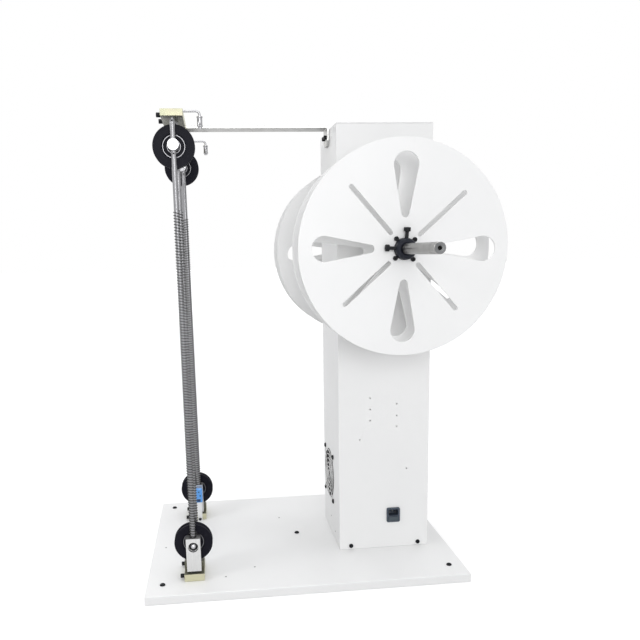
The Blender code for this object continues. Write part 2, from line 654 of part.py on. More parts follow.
def make_inlet():
    x, z = COLUMN_X + INLET_X, INLET_Z
    w, h = INLET_SIZE
    front = -FACE - GAP - INLET_RIM
    bm = bmesh.new()
    block(bm, (x - w / 2, front, z - h / 2), (x + w / 2, front + INLET_RIM, z + h / 2))
    inlet = finish("power_inlet", bm, BLACK_PLASTIC)
    bm = bmesh.new()
    inset = INLET_BODY_INSET
    block(bm, (x - w / 2 + inset, front + INLET_RIM / 2, z - h / 2 + inset),
          (x + w / 2 - inset, -FACE + INLET_DEPTH, z + h / 2 - inset))
    cut(inlet, bm, "UNION")
    bm = bmesh.new()
    sw, sh = SOCKET_SIZE
    middle = z + SOCKET_RISE
    floor = front + SOCKET_DEPTH
    block(bm, (x - sw / 2, front - OVERRUN, middle - sh / 2), (x + sw / 2, floor, middle + sh / 2))
    dw, dh = DRAWER_SIZE
    lower = z - DRAWER_DROP
    block(bm, (x - dw / 2 - GAP, front - OVERRUN, lower - dh / 2 - GAP),
          (x + dw / 2 + GAP, front + DRAWER_DEPTH + GAP, lower + dh / 2 + GAP))
    cut(inlet, bm)
    bm = bmesh.new()
    pw, pl, ph = PIN_SIZE
    for dx, dz in ((-PIN_SPREAD, -PIN_STEP / 2), (PIN_SPREAD, -PIN_STEP / 2), (0.0, PIN_STEP / 2)):
        px, pz = x + dx, middle + dz
        block(bm, (px - pw / 2, floor - pl, pz - ph / 2), (px + pw / 2, floor + OVERRUN, pz + ph / 2))
    cut(inlet, bm, "UNION")

    bm = bmesh.new()
    block(bm, (x - dw / 2, front - DRAWER_LIP, lower - dh / 2),
          (x + dw / 2, front + DRAWER_DEPTH, lower + dh / 2))
    finish("fuse_drawer", bm, BLACK_PLASTIC)


def rod_places(side):
    """The outer and inner rod of a tower, as (x, y)."""
    return [(TOWER_X, side * (TOWER_Y + ROD_OFFSET)),
            (TOWER_X + INNER_ROD_SHIFT, side * (TOWER_Y - ROD_OFFSET))]


def make_cross_bar():
    half = FOOT_WIDTH / 2
    bm = bmesh.new()
    block(bm, (TOWER_X - half, -CROSS_BAR_END, CROSS_BAR_BOTTOM),
          (TOWER_X + half, CROSS_BAR_END, CROSS_BAR_TOP))
    bar = finish("cross_bar", bm, YELLOW_ZINC)
    bm = bmesh.new()
    for _, side in SIDES:
        for x, y in rod_places(side):
            rod(bm, (x, y, CROSS_BAR_BOTTOM), (0, 0, 1), -OVERRUN, ROD_SEAT + GAP, ROD_RADIUS + GAP, COARSE)
        rod(bm, (TOWER_X + half, side * GUIDE_PLACES[side], GUIDE_Z), (1, 0, 0), -GUIDE_SEAT - GAP, OVERRUN,
            GUIDE_WIRE_RADIUS + GAP, SMALL)
    notch = ARM_WIDTH / 2 + GAP
    block(bm, (ARM_LEFT - GAP, ARM_Y - notch, ARM_TOP - ARM_THICK - GAP),
          (TOWER_X + half + OVERRUN, ARM_Y + notch, CROSS_BAR_TOP + OVERRUN))
    cut(bar, bm)


def make_foot_and_rods(name, side):
    half = FOOT_WIDTH / 2
    bm = bmesh.new()
    block(bm, (TOWER_X - half, side * (TOWER_Y - FOOT_DEPTH / 2), FOOT_BASE),
          (TOWER_X + half, side * (TOWER_Y + FOOT_DEPTH / 2), FOOT_TOP))
    foot = finish(name + "_foot", bm, YELLOW_ZINC)
    bm = bmesh.new()
    stop = STOP_WIDTH / 2
    block(bm, (TOWER_X - stop, side * TOWER_Y - STOP_DEPTH / 2, FOOT_TOP - OVERRUN),
          (TOWER_X + stop, side * TOWER_Y + STOP_DEPTH / 2, FOOT_TOP + STOP_HEIGHT))
    for x, y in rod_places(side):
        rod(bm, (x, y, FOOT_TOP), (0, 0, 1), -OVERRUN, BUMPER_HEIGHT, BUMPER_RADIUS, COARSE)
    cut(foot, bm, "UNION")
    bm = bmesh.new()
    for x, y in rod_places(side):
        rod(bm, (x, y, FOOT_TOP), (0, 0, 1), -ROD_SEAT - GAP, BUMPER_HEIGHT + OVERRUN, ROD_RADIUS + GAP,
            COARSE)
    cut(foot, bm)
    for (x, y), kind in zip(rod_places(side), ("outer", "inner")):
        bm = bmesh.new()
        rod(bm, (x, y, 0), (0, 0, 1), FOOT_TOP - ROD_SEAT, CROSS_BAR_BOTTOM + ROD_SEAT, ROD_RADIUS, COARSE)
        finish(name + "_" + kind + "_rod", bm, BRIGHT_STEEL)


def pulley_profile():
    half = PULLEY_THICK / 2
    hub = ROD_OFFSET - BLOCK_DEPTH / 2 - GAP
    bore = AXLE_RADIUS + RUNNING
    rim, web = PULLEY_RIM, PULLEY_WEB / 2
    base = PULLEY_RADIUS - PULLEY_GROOVE
    right = [(bore, hub), (PULLEY_HUB_RADIUS, hub), (PULLEY_HUB_RADIUS, web), (rim, web), (rim, half),
             (PULLEY_RADIUS, half), (PULLEY_RADIUS, half - PULLEY_LIP), (base, half - 2 * PULLEY_LIP)]
    return right + [(r, -h) for r, h in reversed(right)]


def make_tower(name, side):
    centre = (TOWER_X, side * TOWER_Y)
    for level, height in (("upper", UPPER_AXLE_HEIGHT), ("lower", LOWER_AXLE_HEIGHT)):
        bm = bmesh.new()
        turned(bm, pulley_profile(), (*centre, height), (0, side, 0), MEDIUM + SMALL // 2)
        finish(name + "_" + level + "_pulley", bm, BLACK_PLASTIC)

    bm = bmesh.new()
    half = BLOCK_WIDTH / 2
    for direction in (1, -1):
        y = side * (TOWER_Y + direction * ROD_OFFSET)
        block(bm, (TOWER_X - half, y - BLOCK_DEPTH / 2, BLOCK_BOTTOM),
              (TOWER_X + half, y + BLOCK_DEPTH / 2, BLOCK_TOP))
    carriage = finish(name + "_carriage", bm, ALUMINIUM)
    bm = bmesh.new()
    for x, y in rod_places(side):
        rod(bm, (x, y, 0), (0, 0, 1), BLOCK_BOTTOM - OVERRUN, BLOCK_TOP + OVERRUN, ROD_RADIUS + RUNNING,
            COARSE)
    cut(carriage, bm)
    bm = bmesh.new()
    pocket_floor = BLOCK_DEPTH / 2 - ROD_RADIUS + GAP
    for direction in (1, -1):
        y = side * (TOWER_Y + direction * (ROD_OFFSET + BLOCK_DEPTH / 2))
        out = (0, direction * side, 0)
        rod(bm, (TOWER_X, y, LOWER_AXLE_HEIGHT), out, -pocket_floor, OVERRUN, BLOCK_POCKET_RADIUS, COARSE)
    cut(carriage, bm)
    inner = ROD_OFFSET - BLOCK_DEPTH / 2 + AXLE_SEAT
    bm = bmesh.new()
    rod(bm, (*centre, LOWER_AXLE_HEIGHT), (0, side, 0), -inner, inner, AXLE_RADIUS, COARSE)
    cut(carriage, bm, "UNION")


def make_upper_axle(name, side):
    """The axle of an upper pulley, whose two cross-drilled end bosses are clamped on the rods."""
    reach = ROD_OFFSET + BLOCK_DEPTH / 2
    shoulder = ROD_OFFSET - BLOCK_DEPTH / 2
    profile = ((0.0, -reach), (BOSS_RADIUS, -reach), (BOSS_RADIUS, -shoulder), (AXLE_RADIUS, -shoulder),
               (AXLE_RADIUS, shoulder), (BOSS_RADIUS, shoulder), (BOSS_RADIUS, reach), (0.0, reach))
    bm = bmesh.new()
    turned(bm, profile, (TOWER_X, side * TOWER_Y, UPPER_AXLE_HEIGHT), (0, side, 0), MEDIUM)
    axle = finish(name + "_upper_axle", bm, CHROME)
    bm = bmesh.new()
    for x, y in rod_places(side):
        rod(bm, (x, y, UPPER_AXLE_HEIGHT), (0, 0, 1), -2 * BOSS_RADIUS, 2 * BOSS_RADIUS, ROD_RADIUS + GAP,
            COARSE)
    cut(axle, bm)


def spring_points(x, y, hand):
    """One open coil round a rod, with a short straight end at each end."""
    mean = (ROD_RADIUS + GAP + SPRING_WIRE / 2) / cos(pi / SPRING_POINTS)
    low = BLOCK_TOP + GAP
    coil_low, coil_high = low + SPRING_WIRE, SPRING_TOP - SPRING_WIRE
    points = [(x + mean, y, low)]
    total = SPRING_CURLS * SPRING_POINTS
    for k in range(total + 1):
        angle = hand * 2 * pi * k / SPRING_POINTS
        height = coil_low + (coil_high - coil_low) * k / total
        points.append((x + mean * cos(angle), y + mean * sin(angle), height))
    points.append((x + mean, y, SPRING_TOP))
    return points


def least_gap(points, skip):
    """The least distance between points of a tube that are more than skip apart, less its diameter."""
    best = hypot(*(a - b for a, b in zip(points[0], points[-1])))
    for k, a in enumerate(points):
        for b in points[k + skip:k + 2 * SPRING_POINTS]:
            best = min(best, hypot(*(p - q for p, q in zip(a, b))))
    return best - SPRING_WIRE


def make_springs():
    for name, side in SIDES:
        for place, kind in zip(rod_places(side), ("outer", "inner")):
            points = spring_points(*place, side)
            curve = bpy.data.curves.new(name + "_" + kind + "_spring", "CURVE")
            curve.dimensions = "3D"
            curve.bevel_depth = SPRING_WIRE / 2
            curve.bevel_resolution = 1
            curve.use_fill_caps = True
            spline = curve.splines.new("POLY")
            spline.points.add(len(points) - 1)
            for point, co in zip(spline.points, points):
                point.co = (*co, 1.0)
            item = bpy.data.objects.new(curve.name, curve)
            curve.materials.append(SPRING_STEEL)
            bpy.context.scene.collection.objects.link(item)
            gap = least_gap(points, SPRING_POINTS // 2)
            print(curve.name, "least gap to itself, m:", round(gap, 6))


def make_sensor(name, side):
    w, d, h = SENSOR_SIZE
    bw, bd, bh = BRACKET_SIZE
    x = TOWER_X + SENSOR_SHIFT
    plate_out = TOWER_Y - FOOT_DEPTH / 2 - GAP
    face = plate_out - bd - GAP
    bm = bmesh.new()
    block(bm, (x - w / 2, side * (face - d), SENSOR_TOP - h), (x + w / 2, side * face, SENSOR_TOP))
    finish(name + "_sensor", bm, BLUE_PLASTIC, smooth=False)
    outline = [(0.0, 0.0), (0.0, bh), (-bd, bh), (-bd, bd), (-BRACKET_FOOT, bd), (-BRACKET_FOOT, 0.0)]
    bm = bmesh.new()
    verts = [bm.verts.new((x - bw / 2, side * (plate_out + a), FOOT_BASE + b)) for a, b in outline]
    grown = bmesh.ops.extrude_face_region(bm, geom=[bm.faces.new(verts)])["geom"]
    bmesh.ops.translate(bm, vec=(bw, 0, 0), verts=[v for v in grown if isinstance(v, bmesh.types.BMVert)])
    finish(name + "_sensor_bracket", bm, WHITE_PAINT, smooth=False)


def make_arm():
    """A flat bar let into the cross bar, which crosses to the column and turns down against its side."""
    right = COLUMN_X - COLUMN_WIDTH / 2 - GAP
    outline = [(ARM_LEFT, ARM_TOP - ARM_THICK), (ARM_LEFT, ARM_TOP)]
    tight = ARM_BEND - ARM_THICK
    turns = [pi / 2 * (1 - k / COARSE) for k in range(COARSE + 1)]
    centre = (right - ARM_BEND, ARM_TOP - ARM_BEND)
    outline += [(centre[0] + ARM_BEND * cos(t), centre[1] + ARM_BEND * sin(t)) for t in turns]
    outline += [(right, ARM_FLANGE_BOTTOM), (right - ARM_THICK, ARM_FLANGE_BOTTOM)]
    outline += [(centre[0] + tight * cos(t), centre[1] + tight * sin(t)) for t in reversed(turns)]
    place = Matrix.Translation((0, ARM_Y, 0)) @ Matrix.Rotation(pi / 2, 4, "X")
    bm = bmesh.new()
    slab(bm, outline, place, ARM_WIDTH)
    arm = finish("top_arm", bm, BRIGHT_STEEL)
    bm = bmesh.new()
    flange_middle = (right - ARM_THICK / 2, ARM_Y, ARM_FLANGE_BOTTOM)
    across = Matrix.Translation(flange_middle) @ Matrix.Rotation(pi / 2, 4, "Y")
    for end in (-1, 1):
        edge = end * (ARM_WIDTH / 2 + OVERRUN)
        tip = edge - end * (ARM_CORNER + 2 * OVERRUN)
        corner = [(OVERRUN, edge), (-ARM_CORNER - OVERRUN, edge), (OVERRUN, tip)]
        slab(bm, corner, across, ARM_THICK + 2 * OVERRUN)
    cut(arm, bm)


def make_guide(name, side):
    seat = TOWER_X + FOOT_WIDTH / 2
    x_end = seat + GUIDE_REACHES[side]
    y = side * GUIDE_PLACES[side]
    path = [Vector((seat - GUIDE_SEAT, y, GUIDE_Z)), Vector((x_end - GUIDE_BEND, y, GUIDE_Z))]
    for k in range(1, 5):
        turn = k * pi / 8
        drop = GUIDE_BEND * (1 - cos(turn))
        path.append(Vector((x_end - GUIDE_BEND + GUIDE_BEND * sin(turn), y, GUIDE_Z - drop)))
    path.append(Vector((x_end, y, GUIDE_BOTTOM)))
    bm = bmesh.new()
    rings = []
    across = Vector((0, 1, 0))
    for k, point in enumerate(path):
        along = (path[min(k + 1, len(path) - 1)] - path[max(k - 1, 0)]).normalized()
        up = along.cross(across)
        turns = [2 * pi * n / SMALL for n in range(SMALL)]
        spokes = [GUIDE_WIRE_RADIUS * (across * cos(t) + up * sin(t)) for t in turns]
        rings.append([bm.verts.new(point + spoke) for spoke in spokes])
    for a, b in zip(rings, rings[1:]):
        for n in range(SMALL):
            m = (n + 1) % SMALL
            bm.faces.new((a[n], a[m], b[m], b[n]))
    bm.faces.new(rings[0])
    bm.faces.new(rings[-1])
    guide = finish(name + "_wire_guide", bm, CHROME)
    bm = bmesh.new()
    rod(bm, (x_end, y, GUIDE_BOTTOM), (0, 0, 1), -ROLLER_SEAT_HEIGHT / 2, ROLLER_SEAT_HEIGHT,
        ROLLER_SEAT_RADIUS, COARSE)
    cut(guide, bm, "UNION")
    bm = bmesh.new()
    low = GUIDE_BOTTOM + ROLLER_SEAT_HEIGHT + GAP
    profile = ring_profile(GUIDE_WIRE_RADIUS + RUNNING, ROLLER_RADIUS, low, low + ROLLER_HEIGHT)
    turned(bm, profile, (x_end, y, 0), (0, 0, 1), COARSE)
    finish(name + "_guide_roller", bm, CHROME)


make_base()
make_column()
make_electrics()
make_fan()
make_inlet()
make_cross_bar()
make_arm()
for side_name, side_sign in SIDES:
    make_bearings_and_bulkhead(side_name, side_sign)
    make_drive(side_name, side_sign)
    make_spindle(side_name, side_sign)
    make_tower(side_name, side_sign)
    make_foot_and_rods(side_name, side_sign)
    make_upper_axle(side_name, side_sign)
    make_sensor(side_name, side_sign)
    make_guide(side_name, side_sign)
make_springs()
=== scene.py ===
"""Looks of a double-sided cable drum stand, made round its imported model.

Metres, +Z up, the front drum side towards -Y. The two dancer towers stand left of the column, towards -X.
"""
import json
from math import cos, hypot, pi, radians, sin

import bmesh
import bpy
from mathutils import Matrix, Vector


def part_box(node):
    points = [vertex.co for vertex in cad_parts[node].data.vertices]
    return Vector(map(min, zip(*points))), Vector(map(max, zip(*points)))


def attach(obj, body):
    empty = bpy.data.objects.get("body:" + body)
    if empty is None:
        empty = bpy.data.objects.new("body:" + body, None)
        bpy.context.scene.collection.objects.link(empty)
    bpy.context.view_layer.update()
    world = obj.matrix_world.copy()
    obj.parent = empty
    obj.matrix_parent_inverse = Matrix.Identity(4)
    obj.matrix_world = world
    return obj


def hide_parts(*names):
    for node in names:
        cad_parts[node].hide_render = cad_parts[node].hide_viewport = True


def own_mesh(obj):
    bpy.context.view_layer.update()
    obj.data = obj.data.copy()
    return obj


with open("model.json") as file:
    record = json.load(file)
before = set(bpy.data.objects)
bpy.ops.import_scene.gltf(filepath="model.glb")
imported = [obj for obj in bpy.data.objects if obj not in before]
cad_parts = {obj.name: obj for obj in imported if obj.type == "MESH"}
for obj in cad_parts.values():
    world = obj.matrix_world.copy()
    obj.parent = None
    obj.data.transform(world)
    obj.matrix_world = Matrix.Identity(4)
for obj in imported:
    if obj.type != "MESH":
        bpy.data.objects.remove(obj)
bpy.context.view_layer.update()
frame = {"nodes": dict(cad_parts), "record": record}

# Where the main axes and faces of the stand lie, as in the model
COLUMN_X = 0.158
COLUMN_HALF = 0.100
COLUMN_FACE = 0.103
COLUMN_LEFT = COLUMN_X - COLUMN_HALF
AXIS_Z = 0.677
TOWER_X = -0.2615
TOWER_Y = 0.1665
TOWER_HALF = 0.0205
TOWER_LEFT = TOWER_X - TOWER_HALF
ROD_OFFSET = 0.0225
INNER_ROD_SHIFT = 0.004
UPPER_Z = 0.874
LOWER_Z = 0.0894
BASE_TOP = 0.018
BAR_TOP = 0.9352
SIDES = (("front_", -1), ("rear_", 1))
UP = (0, 0, 1)
DOWN = (0, 0, -1)
LEFT = (-1, 0, 0)

# How the meshes are made
MERGE = 0.00001
FLAT = radians(1)
SHARP = radians(22)
COIL_SHARP = radians(80)
LARGE_FACE = 0.0001
SQUARE_ON, END_ON, FACING = 0.9999, 0.9, 0.5
EASE_LIMIT = 0.4
FINE_ROUND = 96
ROUND = 64
RING_ROUND = 48
ROD_ROUND = 32
SMALL_ROUND = 24
TINY_ROUND = 16
EASE = 0.0004
FINE_EASE = 0.0001
SOCKET_EASE = 0.0002
RING_EASE = 0.0003

# Tray: screws and grey plugs, as (x, y)
BASE_SCREWS = ((-0.325, 0.222), (-0.326, -0.212), (-0.026, 0.008), (0.272, -0.212), (0.272, 0.222))
BASE_PLUGS = ((-0.331, -0.029), (-0.059, 0.109), (-0.136, -0.158), (-0.198, -0.194))
BASE_PLUG_RADIUS = 0.0021
PLUG_HEIGHT = 0.0004
PLUG_SUNK = 0.0001

# Column: screws at its foot, screws of the rear cover, and plugs on its left side as (y, z)
FOOT_SCREW_XS = (-0.0745, 0.0780)
FOOT_SCREW_Z = 0.026
COVER_SCREW_XS = (-0.090, 0.090)
COVER_SCREW_ZS = (0.30, 0.60, 0.88)
COLUMN_PLUGS = ((0.008, 0.056), (-0.045, 0.020 + BASE_TOP))
COLUMN_PLUG_RADIUS = 0.0018

# Cross bar and arm
ARM_SCREW_X = COLUMN_LEFT - 0.0053
ARM_SCREW_YS = (-0.010, 0.012)
ARM_SCREW_Z = 0.914
LAP_SCREW_X = TOWER_X + 0.003
LAP_SCREW_YS = (-0.012, 0.012)
BAR_SCREW_YS = (0.180, 0.117)
BAR_SCREW_Z = 0.9285

# Grooved wheel: half of its rim's outline, then its bearing's rings as (inner, outer, half width)
WHEEL_HALF = [(0.0134, 0.0040), (0.0212, 0.0040), (0.0228, 0.0093), (0.0240, 0.0095), (0.0386, 0.0095),
              (0.0393, 0.0088), (0.0393, 0.0068), (0.0312, 0.0034), (0.0303, 0.0020)]
SNAP_RING = (0.0196, 0.0214)
SNAP_RING_INSIDE, SNAP_RING_OUTSIDE = 0.0038, 0.0060
OUTER_RING = (0.0114, 0.0134, 0.0046)
INNER_RING = (0.0064, 0.0086, 0.0105)
SEAL_RING = (0.0086, 0.0114, 0.0041)

# Return springs
COIL_LOW, COIL_HIGH = 0.1080, 0.7570
COIL_WIRE = 0.00088
COIL_RADIUS = 0.00572
COIL_TURNS = 118
COIL_STEPS = 14
COIL_SIDES = 7

# Rods, upper axle and its grub screws
ROD_RADIUS = 0.0048
ROD_LOW, ROD_HIGH = 0.0255, 0.9305
AXLE_REACH, AXLE_SHOULDER = 0.0340, 0.0110
AXLE_BOSS, AXLE_WAIST = 0.0105, 0.006
AXLE_HOLE, AXLE_HOLE_FLOOR, AXLE_HOLE_DEPTH = 0.0035, 0.0030, 0.0012
AXLE_EASE = 0.0007
GRUB_RADIUS = 0.0017
GRUB_ZS = (0.8585, 0.9165)
GRUB_GAP, GRUB_PROUD = 0.0001, 0.0003
PIN_SUNK = -0.001

# Foot
FOOT_REACH = 0.0385
FOOT_LOW, FOOT_HIGH = 0.0183, 0.0333
STOP_HALF = 0.009
STOP_TOP = 0.0483
STOP_SUNK = 0.001
BUMPER = (0.0049, 0.0090)
BUMPER_SUNK, BUMPER_HEIGHT = 0.0005, 0.0039
FOOT_SCREW_YS = (0.190, 0.1328)
TOWER_FOOT_SCREW_Z = 0.0250

# Carriage: the lower axle's domed ends in their counterbores, washers and bushes
BLOCK_REACH = 0.0115
COUNTERBORE = 0.0071
AXLE_END = [(0.0, 0.0), (0.0054, 0.0), (0.0054, 0.0016), (0.0042, 0.0036), (0.0018, 0.0046), (0.0, 0.0046)]
WASHER = (0.0056, 0.0094, -0.0001, 0.0007)
BUSH = (0.0051, 0.0068, 0.0, 0.0003)
BUSH_SPOTS = ((0.1076, 1), (0.0376, -1))

# Sensor: the lens' inset from the body, and the screws
LENS_LEFT, LENS_RIGHT = 0.0030, 0.0050
LENS_LOW, LENS_HIGH = 0.0020, 0.0090
LENS_PROUD, LENS_SUNK = 0.0006, 0.002
SWITCH_PIN_RADIUS, SWITCH_PIN_PROUD = 0.0016, 0.0006
SWITCH_PIN_DROP, SWITCH_PIN_SHIFT = 0.008, 0.003
BRACKET_SCREW_INSET = 0.006
BRACKET_SCREW_Z = BASE_TOP + 0.0023

# Wire guide and its roller
GUIDE_WIRE = 0.0022
GUIDE_BEND = 0.0065
GUIDE_BEND_STEPS = 8
GUIDE_SIDES = 20
GUIDE_SUNK = 0.003
GUIDE_ENDS = {-1: -0.211, 1: -0.204}
GUIDE_PLACES = {-1: -0.200, 1: 0.145}
COLLAR_RADIUS, COLLAR_HEIGHT = 0.0036, 0.0024
ROLLER_ROOM, ROLLER_WAIST = 0.0004, 0.0007
ROLLER_RIM, ROLLER_SLOPE = 0.0022, 0.0032
ROLLER_ROUND = 40

# Discs. An opening goes round two circles, each as (distance from the axis, radius)
DROP = ((0.1514, 0.0236), (0.0646, 0.0076))
SLOT = ((0.1510, 0.0045), (0.0400, 0.0045))
OPENING_ROUND = 36
DISC_RADIUS, DISC_HALF, DISC_ROUND = 0.200, 0.002, 160
CUT_HALF = 0.006
BACK_DISC_TILT, CLAMP_DISC_TILT = radians(2.7), radians(-1.0)
SLOT_LEAD = radians(2.6)

# Spindle, as depths from the stand's middle, and the clamp hub
BACK_DISC, CLAMP_DISC = 0.163, 0.2545
SEAT_BEHIND = 0.0023
SHAFT_RADIUS, SHAFT_START, SHAFT_END = 0.010, 0.040, 0.462
END_HOLE, END_HOLE_MOUTH, END_HOLE_BEVEL, END_HOLE_FLOOR = 0.0032, 0.0040, 0.4612, 0.442
FLANGE_RADIUS, FLANGE_THICK = 0.030, 0.005
BACK_BOSS_RADIUS, BACK_BOSS_LENGTH = 0.0185, 0.018
HUB_BORE, HUB_RADIUS = 0.0104, 0.0198
CLAMP_DISC_BORE = 0.0203
HUB_BEVEL = ((0.0198, 0.0045), (0.0180, 0.0014), (0.0165, 0.0), (0.0112, 0.0), (0.0104, 0.0008))
SHAFT_EASE, HUB_EASE = 0.0008, 0.0006
HUB_SCREW_CIRCLE = 0.0248
HUB_SCREW_LEANS = (131, 42, -137, -51)
CLAMP_SCREW_LEANS = (86.4, 176.4)
CLAMP_SCREW_DEPTH, CLAMP_SCREW_REACH = 0.009, 0.0316

# Fan, from the middle of its housing's inner face
FAN_X, FAN_Y, FAN_Z = 0.0603, 0.028, 0.157
ROTOR_FRONT, ROTOR_BACK = FAN_X + 0.0030, FAN_X + 0.0217
ROTOR_HUB, ROTOR_EASE = 0.020, 0.0012
BLADES, BLADE_STEPS = 7, 6
BLADE_ROOT, BLADE_STEP = 0.0180, 0.0060
BLADE_THICK, BLADE_CHORD = 0.0013, 0.0200
BLADE_PITCH, BLADE_TWIST, BLADE_SWEEP = radians(52), radians(-4), radians(2.5)
GUARD_WIRE, GUARD_GAP = 0.0010, 0.0002
GUARD_RINGS = (0.0145, 0.0247, 0.0349, 0.0451, 0.0553)
GUARD_RING_SIDES, GUARD_RING_STEPS = 8, 56
SPOKE_LEANS, SPOKE_HALF, SPOKE_SHIFT, SPOKE_SIDES = (45, 135), 0.0725, 0.0012, 10
FAN_SCREW_REACH = 0.0530

# Power inlet, from the middle of its front: heights are (low, high), depths run into the column
RIM_DEPTH, RIM_CORNER, RIM_CORNER_STEPS = 0.003, 0.0036, 6
SHELL_INSET, SHELL_START = 0.002, 0.0015
SOCKET_HALF, SOCKET_HEIGHTS, SOCKET_DEPTH = 0.011, (-0.00165, 0.01285), 0.017
SOCKET_CORNER, SOCKET_CORNER_STEPS = 0.0028, 3
BAY_HALF, BAY_HEIGHTS, BAY_DEPTH = 0.0111, (-0.0136, -0.0040), 0.0223
CUT_AHEAD = 0.003
PIN_SPOTS = ((-0.0065, -0.0026), (0.0065, -0.0026), (0.0, 0.0010))
PIN_MIDDLE, PIN_HALF_WIDTH, PIN_HALF_HEIGHT = 0.0056, 0.0009, 0.0018
PIN_TIP, PIN_ROOT = 0.008, 0.019
TRAY_HALF, TRAY_HEIGHTS = 0.0108, (-0.0133, -0.0043)
NOTCH_HALF, NOTCH_HEIGHTS = 0.0035, (-0.0153, -0.0111)
NOTCH_AHEAD, NOTCH_DEPTH = 0.002, 0.0010
UPRIGHT_EDGE = 0.001

# Ranges that the finishes carry their noises from and to
WHOLE = (0.0, 1.0)
MIDDLE = (0.3, 0.7)
DEEP = 0.0001

# Stage, lamps and camera
FLOOR_HALF, FLOOR_DROP = 30.0, -0.0002
FLOOR_COLOUR = (0.66, 0.66, 0.66)
FLOOR_GLOW, FULL_GLOW = 0.42, 1.0
GLOW_FROM, GLOW_TO = 1.2, 7.0
WHITE = (1.0, 1.0, 1.0)
WORLD_COLOUR = (0.965, 0.975, 1.0)
WORLD_LIGHT = 0.58
# Name, place, aim, width and power
LAMPS = (("front_lamp", (0.0, -3.4, 1.3), (0.0, 0.0, 0.45), 1.6, 35.0),
         ("left_lamp", (-2.1, -0.9, 1.7), (0.0, 0.0, 0.0), 0.8, 10.0),
         ("fill_lamp", (2.3, -2.2, 1.5), (0.0, 0.0, 0.5), 2.4, 6.0),
         ("top_lamp", (0.2, 0.2, 3.2), (0.0, 0.0, 0.3), 2.6, 44.0),
         ("back_lamp", (-1.2, 2.6, 1.8), (0.0, 0.0, 0.5), 2.0, 6.0))
CAMERA_PLACE = (-0.1964, -1.5308, 0.6755)
CAMERA_RIGHT = (0.99363, -0.11064, -0.02160)
CAMERA_UP = (0.04123, 0.17831, 0.98311)
CAMERA_FORWARD = (0.10492, 0.97773, -0.18173)
CAMERA_LENS, CAMERA_SENSOR = 38.76, 36.0
CAMERA_SHIFT_X, CAMERA_SHIFT_Y = 0.0449, 0.0930
CAMERA_FAR = 100.0

scene = bpy.context.scene
BODY = {node: body for body, nodes in frame["record"]["behaviour"]["bodies"].items() for node in nodes}


def put(tree, socket, value):
    """Link an input to a value that a node gives, or set it."""
    if isinstance(value, Value):
        value = value.socket
    if isinstance(value, bpy.types.NodeSocket):
        tree.links.new(value, socket)
    elif socket.type == "RGBA" and len(value) == 3:
        socket.default_value = (*value, 1.0)
    else:
        socket.default_value = value


def wire(tree, kind, values=None, **settings):
    """Add a node, set or link its inputs, and return its outputs."""
    made = tree.nodes.new("ShaderNode" + kind)
    for key, value in settings.items():
        setattr(made, key, value)
    for key, value in (values or {}).items():
        put(tree, made.inputs[key], value)
    return made.outputs


class Value:
    """One socket of a material's nodes, so that shader maths reads as plain arithmetic."""

    def __init__(self, look, socket):
        self.look = look
        self.socket = socket

    def maths(self, operation, other):
        return self.look.node("Math", {0: self, 1: other}, operation=operation)

    def __add__(self, other):
        return self.maths("ADD", other)

    def __mul__(self, other):
        return self.maths("MULTIPLY", other)


class Look:
    """One material, made node by node."""

    def __init__(self, name):
        self.material = bpy.data.materials.new(name)
        self.material.use_nodes = True
        self.tree = self.material.node_tree
        self.shader = self.tree.nodes["Principled BSDF"]

    def node(self, kind, values=None, output=0, **settings):
        return Value(self, wire(self.tree, kind, values, **settings)[output])

    def noise(self, scale, detail=2.0, rough=0.5, stretch=None, where=None):
        """Noise on object coordinates, or on another vector, stretched if asked."""
        where = where or self.node("TexCoord", output="Object")
        if stretch:
            where = self.node("Mapping", {"Vector": where, "Scale": stretch})
        values = {"Vector": where, "Scale": scale, "Detail": detail, "Roughness": rough}
        return self.node("TexNoise", values)

    def turning(self):
        """The radius and height that lathe() kept for each point."""
        return self.node("Attribute", output="Vector", attribute_name="turning")

    def spread(self, value, source, target):
        """A value carried from one (low, high) range onto another, held at its ends."""
        values = {"Value": value, "From Min": source[0], "From Max": source[1], "To Min": target[0],
                  "To Max": target[1]}
        return self.node("MapRange", values, clamp=True)

    def mix(self, factor, first, second):
        return self.node("Mix", {0: factor, 6: first, 7: second}, output=2, data_type="RGBA")

    def bump(self, height, strength, distance):
        values = {"Height": height, "Strength": strength, "Distance": distance}
        return self.node("Bump", values)

    def surface(self, **values):
        names = {"colour": "Base Color", "roughness": "Roughness", "metallic": "Metallic", "normal": "Normal",
                 "coat": "Coat Weight", "coat_roughness": "Coat Roughness", "ior": "IOR"}
        for key, value in values.items():
            put(self.tree, self.shader.inputs[names[key]], value)
        return self.material


def shade(colour, share):
    return tuple(channel * share for channel in colour)


def lift(colour, step):
    return tuple(channel + step for channel in colour)


def powder_coat(name, colour, roughness):
    """Oven-cured powder paint: a fine orange peel, faint clouds of dust and a few dull scuffs."""
    look = Look(name)
    peel = look.noise(620, rough=0.6)
    cloud = look.noise(4.5, detail=4.0, rough=0.55)
    patches = look.noise(38, detail=6.0, rough=0.7, stretch=(1.0, 1.0, 0.35))
    scuff = look.spread(patches, (0.63, 0.74), WHOLE)
    dusty = look.mix(look.spread(cloud, (0.35, 0.7), WHOLE), colour, shade(colour, 0.972))
    worn = look.mix(scuff * 0.35, dusty, shade(colour, 0.93))
    dull = look.spread(cloud, MIDDLE, (roughness - 0.04, roughness + 0.05)) + scuff * 0.08
    return look.surface(colour=worn, roughness=dull, normal=look.bump(peel, strength=0.10, distance=0.0002),
                        coat=0.06, coat_roughness=0.25)


